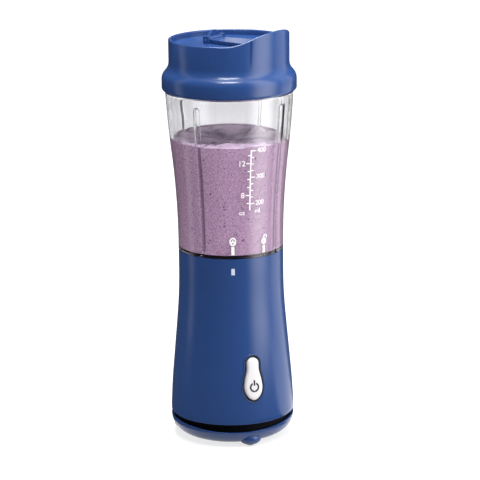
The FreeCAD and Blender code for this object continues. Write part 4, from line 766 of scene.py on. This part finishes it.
def one_piece(name, meshes):
    """Join loose meshes in one new object."""
    shape = bmesh.new()
    for mesh in meshes:
        shape.from_mesh(mesh)
    joined = bpy.data.meshes.new(name)
    shape.to_mesh(joined)
    shape.free()
    return new_piece(name, joined)


def curve_mesh(data):
    """The mesh of a flat curve or text, as thick as the ink."""
    data.extrude = INK / 2 * MM
    flat = new_piece("flat", data)
    mesh = bpy.data.meshes.new_from_object(flat)
    bpy.data.objects.remove(flat)
    return mesh


def lettering(text, x, z, size, align):
    """A word in the plain built-in face, a little bolder and closer than it comes."""
    data = bpy.data.curves.new("lettering", "FONT")
    data.body, data.size, data.align_x, data.align_y = text, size * MM, align, "CENTER"
    data.space_character, data.offset = 0.95, BOLDER * MM
    return stand_up(curve_mesh(data), x, z)


def outlined(outlines, x, z):
    """A flat sign from closed outlines in millimetres; an outline inside another one is a hole."""
    data = bpy.data.curves.new("sign", "CURVE")
    data.dimensions, data.fill_mode = "2D", "BOTH"
    for outline in outlines:
        spline = data.splines.new("POLY")
        spline.points.add(len(outline) - 1)
        for point, (across, up) in zip(spline.points, outline):
            point.co = (across * MM, up * MM, 0, 1)
        spline.use_cyclic_u = True
    return stand_up(curve_mesh(data), x, z)


def printed(name, marks, radius_at, ink, body):
    """Join flat marks and print them on a turned surface of a body."""
    return dress(wrapped(one_piece(name, marks), radius_at), ink, body)


print("ink thickness:", INK, "mm")

# %% [markdown]
# The scale counts millilitres on its right and fluid ounces on its left. Tick marks repeat, so a recipe
# lays them out: so many ticks, one step apart, with a longer one every few steps.

# %% Print the scale
def tick_marks(name, count, first, step, every, phase, side):
    """Ticks that start at the scale's line and point to one side, 1 or -1."""
    recipe = Recipe(name, Count=count, First=first * MM, Step=step * MM, Long_Every=every, Phase=phase,
                    Short=2.3 * MM, Long=3.4 * MM, Line=0.75 * MM, Ink=INK * MM, Side=float(side))
    index = recipe.node("GeometryNodeInputIndex")
    beat = (index + recipe.size("Phase")) % recipe.size("Long_Every")
    is_long = beat.maths("COMPARE", 0.0, 0.5)
    length = recipe.size("Short") + (recipe.size("Long") - recipe.size("Short")) * is_long
    height = recipe.size("First") + index * recipe.size("Step")
    spot = recipe.vector(length * recipe.size("Side") / 2, 0.0, height)
    points = recipe.node("GeometryNodeMeshLine", sockets={"Count": recipe.size("Count")})
    points = recipe.node("GeometryNodeSetPosition", sockets={"Geometry": points, "Position": spot})
    bar = recipe.node("GeometryNodeMeshCube", sockets={
        "Size": recipe.vector(1.0, recipe.size("Ink"), recipe.size("Line")), "Vertices X": 5})
    ticks = recipe.node("GeometryNodeInstanceOnPoints", sockets={
        "Points": points, "Instance": bar, "Scale": recipe.vector(length, 1.0, 1.0)})
    return recipe.make(name, ticks, white_ink)


jar_outside = line_radius(outer_line)
LINE_LOW, LINE_TOP, LINE_HALF, LINE_RINGS = 176.9, 221.3, 0.45, 25
line_section = [(-LINE_HALF, -INK / 2), (LINE_HALF, -INK / 2), (LINE_HALF, INK / 2), (-LINE_HALF, INK / 2)]
line_heights = np.linspace(LINE_LOW, LINE_TOP, LINE_RINGS)
line_verts = [(x * MM, y * MM, z * MM) for z in line_heights for x, y in line_section]
line_ends = [(0, 3, 2, 1), tuple(range(4 * LINE_RINGS - 4, 4 * LINE_RINGS))]
scale_parts = [add_piece("scale_line", line_verts, bands(LINE_RINGS, 4) + line_ends),
               tick_marks("millilitres", 9, 181.8, 4.89, 4, 0, 1),
               tick_marks("ounces", 7, 182.2, 5.9, 4, 3, -1)]
printed("volume_scale", [part.data for part in scale_parts], jar_outside, white_ink, "jar")
for part in scale_parts:
    bpy.data.objects.remove(part)

# %% [markdown]
# The figures stand beside the long ticks, in a plain sans face about four millimetres tall. Nothing else
# is written on the jar.

# %% Print the figures
LEFT_OF_LINE = [("12", -4.0, 211.6, 5.6), ("8", -4.0, 188.0, 5.6), ("oz", -3.6, 175.2, 4.6)]
RIGHT_OF_LINE = [("400", 4.6, 220.9, 4.9), ("300", 4.4, 201.6, 4.9), ("200", 4.2, 182.0, 4.9),
                 ("ml", 3.9, 176.2, 4.6)]
words = [lettering(*word, "LEFT") for word in RIGHT_OF_LINE]
words += [lettering(*word, "RIGHT") for word in LEFT_OF_LINE]
printed("volume_figures", words, jar_outside, white_ink, "jar")

# %% [markdown]
# Two signs above the jar's foot tell which way the bayonet turns: a closed padlock in an oval, and an open
# one. Under each a bar points at the mark on the base.

# %% Print the padlock signs
LOCKED_TURN, UNLOCKED_TURN = -18.4, 17.4


def oval(wide, high, x=0.0, z=0.0, first=0.0, last=360.0, steps=32):
    """Points along an ellipse, or along a part of it."""
    turns = np.radians(np.linspace(first, last, steps, endpoint=last - first < 360))
    return [(x + wide * math.cos(turn), z + high * math.sin(turn)) for turn in turns]


def arch(reach, thick, x, z, legs, first=0.0, last=180.0):
    """A padlock's shackle: an arc of one thickness on two legs, the second of which may be left out."""
    outer = oval(reach, reach, x, z, first, last, 14)
    inner = oval(reach - thick, reach - thick, x, z, first, last, 14)
    start = [(x + reach - thick, z - legs), (x + reach, z - legs)]
    end = [(x - reach, z - legs), (x - reach + thick, z - legs)] if last == 180 else []
    return start + outer + end + inner[::-1]


def bar(wide, low, high):
    return [(-wide / 2, low), (wide / 2, low), (wide / 2, high), (-wide / 2, high)]


def aside_of(degrees, height):
    """The arc length in millimetres from straight above the button to an angle at a height."""
    return math.radians(degrees) * jar_outside(height * MM) / MM


locked, unlocked = aside_of(LOCKED_TURN, 153), aside_of(UNLOCKED_TURN, 153)
signs = [outlined([oval(2.5, 3.2), arch(1.3, 0.7, 0, 0.75, 0.75), bar(0.9, -2.0, -0.7)], locked, 154.2),
         outlined([bar(2.3, 0, 6.2)], locked, 144.3),
         outlined([oval(2.15, 2.3), bar(0.8, -1.2, 0.8)], unlocked, 152.9),
         outlined([arch(1.55, 0.75, 0, 0, 1.4)], unlocked + 1.3, 156.2),
         outlined([bar(1.9, 0, 5.4)], unlocked, 144.3)]
printed("padlock_signs", signs, jar_outside, white_ink, "jar")

# %% [markdown]
# The base carries one small mark below its rim, which the bars meet as the jar turns home.

# %% Print the base mark
housing_line = SideLine(38.3, 141, -90).straight(38.3, 125).arc(39.78, 92, 12)
housing_line.straight(43.56, 50).arc(45.3, 22, 12)
housing_outside = line_radius(housing_line)
base_mark = outlined([bar(2.5, -2.4, 2.4)], math.radians(LOCKED_TURN) * 38.3, 131.9)
printed("base_mark", [base_mark], housing_outside, silver_ink, "base")

# %% [markdown]
# ## The push button
# The button is a loose pear-shaped cap in a hole of the housing. Its face follows the housing two millimetres
# further out, and its edge is rounded. The cap is built as rings: up the side wall, over the rounded
# edge, and inwards to a spine that the last ring closes on. A stem behind it presses the switch.

# %% Build the button
pear = SideLine(0, 36.7, 8.4).arc(4.3, 39.2, 6).arc(6.7, 47.5, 9).arc(5.2, 55.2, 9).arc(4.3, 59.3, 6)
pear.straight(4.3, 63.8, 4).arc(0, 68.1, 10)
pear_points = pear.points[:-1] + [(-x, z) for x, z in reversed(pear.points[1:])]
around = len(pear_points)
BUTTON_PROUD, BUTTON_DEEP, BUTTON_CROWN = 2.0, 1.6, 0.12
SPINE_LOW, SPINE_HIGH = 44.5, 63
STEM_RADIUS, STEM_HEIGHT, STEM_SIDES = 3, 54, 24


def grown(points, by):
    """Move a closed outline outwards by a distance, along the direction square to its neighbours."""
    moved = []
    for number, (x, z) in enumerate(points):
        (x0, z0), (x1, z1) = points[number - 1], points[(number + 1) % len(points)]
        length = math.hypot(x1 - x0, z1 - z0)
        moved.append((x + by * (z1 - z0) / length, z - by * (x1 - x0) / length))
    return moved


def on_housing(x, z, proud):
    """A point of the housing's front, so far proud of it, in metres."""
    reach = housing_outside(z * MM) + proud * MM
    return (x * MM, -math.sqrt(reach * reach - x * x * MM * MM), z * MM)


def pear_rings(sizes):
    """Rings of points on the housing: the pear's outline, grown by and proud by the sizes in millimetres."""
    return [on_housing(x, z, proud) for by, proud in sizes for x, z in grown(pear_points, by)]


def towards_spine(points, share):
    """The outline drawn in to its spine, which is an upright line in its middle."""
    return [(x * share, z * share + min(max(z, SPINE_LOW), SPINE_HIGH) * (1 - share)) for x, z in points]


EDGE = ((0, -BUTTON_DEEP), (0, 0.75), (-0.15, 1.15), (-0.45, 1.52), (-0.85, 1.82), (-1.3, BUTTON_PROUD))
face_edge = grown(pear_points, EDGE[-1][0])
button_verts = [on_housing(x, z, -BUTTON_DEEP) for x, z in towards_spine(pear_points, 0)] + pear_rings(EDGE)
for share in (0.75, 0.5, 0.25, 0.0):
    proud = BUTTON_PROUD + BUTTON_CROWN * (1 - share)
    button_verts += [on_housing(x, z, proud) for x, z in towards_spine(face_edge, share)]
cap_count = len(button_verts)
button_faces = bands(cap_count // around, around)

stem_front = -housing_outside(STEM_HEIGHT * MM) + (BUTTON_DEEP + 0.4) * MM
for y in (stem_front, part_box("power_button")[1][1]):
    stem_ring = oval(STEM_RADIUS, STEM_RADIUS, 0, STEM_HEIGHT, steps=STEM_SIDES)
    button_verts += [(x * MM, y, z * MM) for x, z in stem_ring]
button_faces += bands(2, STEM_SIDES, first=cap_count)
button_faces += [tuple(range(first, first + STEM_SIDES)) for first in (cap_count, cap_count + STEM_SIDES)]
button_cap = add_piece("button_cap", button_verts, button_faces, corner=60)
dress(button_cap, silver_plastic, "button", ["power_button"])

# %% [markdown]
# The sign on it is the common one for power: a ring with a gap at the top and a stroke in the gap.

# %% Print the power sign
SIGN_HEIGHT = 46.7
ring_out = oval(3.6, 3.6, first=112, last=428, steps=40)
ring_in = oval(2.4, 2.4, first=120, last=420, steps=40)
power_sign = [outlined([ring_out + ring_in[::-1]], 0, SIGN_HEIGHT),
              outlined([bar(1.2, 1.2, 5.3)], 0, SIGN_HEIGHT)]
button_face = line_radius(housing_line, BUTTON_PROUD + 0.09)
printed("power_sign", power_sign, button_face, dark_ink, "button")

# %% [markdown]
# The hole has a raised lip, moulded with the housing. It is a bead that follows the pear's outline, so a
# recipe turns the line of points into a curve and sweeps a circle along it.

# %% Round the hole's lip
LIP_GROWN, LIP_SUNK = 2.1, 0.12
lip_recipe = Recipe("hole_lip", Thick=0.5 * MM)
lip_path = lip_recipe.node("GeometryNodeMeshToCurve", sockets={0: lip_recipe.size("Geometry")})
lip_section = lip_recipe.node("GeometryNodeCurvePrimitiveCircle", {"mode": "RADIUS"}, {
    "Resolution": 12, "Radius": lip_recipe.size("Thick")})
lip_bead = lip_recipe.node("GeometryNodeCurveToMesh", sockets={
    "Curve": lip_path, "Profile Curve": lip_section})
lip_points = pear_rings([(LIP_GROWN, -LIP_SUNK)])
lip_edges = [(n, (n + 1) % around) for n in range(around)]
hole_lip = lip_recipe.make("hole_lip", lip_bead, blue_plastic, lip_points, lip_edges)
dress(tidied(hole_lip, merge=FINE_DOUBLES), blue_plastic, "base")

# %% [markdown]
# A thin dark ring lines the hole and lies on the housing round it. It is painted shade: a dark sheet that
# stands in for the shadow in the gap round the button, and it keeps light from showing past the button.

# %% Line the hole with painted shade
# Painted shade: a black ring on the housing round the button, drawing the gap's shadow.
GAP_SHADE_RINGS = ((0.93, -1.9), (0.93, 0.02), (1.0, 0.1), (1.75, 0.1), (1.9, -0.15), (1.6, -0.3), (1.3, -1.9))
gap_shade_ring = add_piece("gap_shade_ring", pear_rings(GAP_SHADE_RINGS), bands(len(GAP_SHADE_RINGS), around, loop=True), corner=50)
dress(gap_shade_ring, black_rubber, "base")

# %% [markdown]
# ## Floor and background
# A pale floor holds the shadow. It could be lit until it is white, but that would wash out the model. So
# the floor glows only where the camera, a reflection or a clear part looks at it, and for the camera it
# turns to pure white further away. The world is white for the same rays and softer where it lights the
# model.

# %% Lay the floor and the sky
FLOOR_SIDE, FLOOR_GLOW, GLOW_NEAR, GLOW_FAR, WORLD_LIGHT = 8, 0.75, 0.4, 2.0, 0.27


def plane(name, centre, width, height, normal):
    """A flat rectangle that faces along a normal."""
    corners = [(-width / 2, -height / 2, 0), (width / 2, -height / 2, 0), (width / 2, height / 2, 0),
               (-width / 2, height / 2, 0)]
    turn = Vector(normal).to_track_quat("Z", "Y")
    return raw_piece(name, [turn @ Vector(corner) + Vector(centre) for corner in corners], [(0, 1, 2, 3)])


def looking_rays(graph):
    """Two wires that are 1 for rays from the camera, and for rays sent on by gloss or a clear part."""
    seen = graph.node("ShaderNodeLightPath", output="Is Camera Ray")
    return seen, seen.other("Is Glossy Ray").maths("MAXIMUM", seen.other("Is Transmission Ray"))


floor = plane("floor", (0, 0, 0), FLOOR_SIDE, FLOOR_SIDE, (0, 0, 1))
floor_finish = Finish("floor_white", (0.35, 0.35, 0.35), 0.9, Specular_IOR_Level=0.1, Emission_Strength=1.0)
seen, sent_on = looking_rays(floor_finish)
away = floor_finish.node("ShaderNodeVectorMath", {"operation": "LENGTH"}, {0: floor_finish.place}, "Value")
seen = seen * floor_finish.ramped(away, GLOW_NEAR, GLOW_FAR, FLOOR_GLOW, 1.0)
seen = seen.maths("MAXIMUM", sent_on * FLOOR_GLOW)
floor_finish.feed("Emission Color", floor_finish.mix(seen, (0, 0, 0), (1, 1, 1)))
wear(floor, floor_finish.material)

world = bpy.data.worlds.new("studio")
bpy.context.scene.world = world
world.use_nodes = True
seen, sent_on = looking_rays(Graph(world.node_tree))
strength = seen.maths("MAXIMUM", sent_on) * (1 - WORLD_LIGHT) + WORLD_LIGHT
background = world.node_tree.nodes["Background"]
background.inputs["Color"].default_value = (1, 1, 1, 1)
world.node_tree.links.new(strength.socket, background.inputs["Strength"])
print("floor glow:", FLOOR_GLOW, "- world light:", WORLD_LIGHT)

# %% [markdown]
# ## Lamps and flags
# Glossy plastic shows its surroundings more than its own colour, so most of the work is in what it
# reflects. The lamps are plain and soft: one overhead, two at the sides that no gloss shows, and a thin
# one for the short bright line on the lid. Dark flags give the gloss its dark bands, and grey ones draw
# the edges of the clear wall, which would vanish against white.

# %% Hang the lamps and flags
LAMP_AIM = Vector((0, 0, 0.16))
FLAG_ROWS, FLAG_COLUMNS = ((0.052, 0.0015), (0.9, 0.0015), (0.9, 1.6)), 25


def soft_lamp(name, turn, height, distance, width, tall, power):
    """A rectangular lamp at an azimuth from the button's side, aimed at the middle of the model."""
    data = bpy.data.lights.new(name, "AREA")
    data.shape, data.size, data.size_y, data.energy = "RECTANGLE", width, tall, power
    lamp = new_piece(name, data)
    angle = math.radians(turn)
    lamp.location = (distance * math.sin(angle), -distance * math.cos(angle), height)
    lamp.rotation_euler = (LAMP_AIM - lamp.location).to_track_quat("-Z", "Y").to_euler()
    return lamp


def flag(name, first, last, tone=0.01, gloss=False, clear=False):
    """A sheet on the floor and up round a part of the model, which only gloss or clear parts see."""
    turns = np.radians(np.linspace(first, last, FLAG_COLUMNS))
    verts = [(reach * math.sin(turn), -reach * math.cos(turn), height)
             for reach, height in FLAG_ROWS for turn in turns]
    starts = [row * FLAG_COLUMNS + n for row in range(len(FLAG_ROWS) - 1) for n in range(FLAG_COLUMNS - 1)]
    sheet = raw_piece(name, verts, [(n, n + 1, n + FLAG_COLUMNS + 1, n + FLAG_COLUMNS) for n in starts])
    wear(sheet, Finish(name + "_cloth", (tone, tone, tone), 0.9).material)
    sheet.visible_camera = sheet.visible_diffuse = sheet.visible_shadow = False
    sheet.visible_glossy, sheet.visible_transmission = gloss, clear


flag("left_flag", -200, 62, gloss=True)
flag("right_flag", 112, 158, gloss=True)
flag("left_edge_flag", -140, -75, 0.4, clear=True)
flag("right_edge_flag", 95, 125, 0.4, clear=True)
soft_lamp("streak", -22, 1.5, 0.75, 0.6, 0.03, 12)
soft_lamp("overhead", 159.5, 1.6, 0.15, 0.8, 0.8, 32)
soft_lamp("left_fill", -110, 0.4, 0.8, 0.3, 0.7, 1.4).visible_glossy = False
soft_lamp("right_fill", 95, 0.45, 1.2, 0.5, 1.2, 5).visible_glossy = False
print("lamps:", len(bpy.data.lights))

# %% [markdown]
# The long highlight comes from an upright soft box beside the model that is brightest down its middle and
# fades to both sides, so that its reflection has no hard edge, neither in the plastic nor in the jar. A
# second, faint one lights up the left edge. Both stand near, because a camera that looks down sees the
# lower plastic reflect what is low and close.

# %% Stand the soft boxes up
BOX_AWAY, BOX_TALL, BOX_FOOT = 0.42, 0.9, 0.01


def soft_box(name, turn, wide, peak):
    """An upright glowing cloth at an azimuth from the button's side, brightest down its middle."""
    angle = math.radians(turn)
    towards = Vector((math.sin(angle), -math.cos(angle), 0))
    centre = towards * BOX_AWAY + Vector((0, 0, BOX_FOOT + BOX_TALL / 2))
    cloth = Finish(name + "_cloth", (0, 0, 0), 1.0, Specular_IOR_Level=0.0, Emission_Strength=peak)
    east, north, _ = cloth.split(cloth.place)
    aside = east * math.cos(angle) + north * math.sin(angle)
    fade = cloth.ramped(aside.maths("ABSOLUTE"), 0.0, wide / 2, kind="SMOOTHERSTEP")
    cloth.feed("Emission Color", cloth.mix(fade, (0, 0, 0), (1, 1, 1)))
    box = wear(plane(name, centre, wide, BOX_TALL, -towards), cloth.material)
    box.visible_camera = box.visible_shadow = False
    print(name, "at", turn, "degrees")


soft_box("key_box", 41, 0.56, 4.0)
soft_box("left_box", -113, 0.22, 0.9)

# %% [markdown]
# ## Finish
# The colours are shown as they are.

# %% Show the colours as they are
bpy.context.scene.view_settings.view_transform = "Standard"
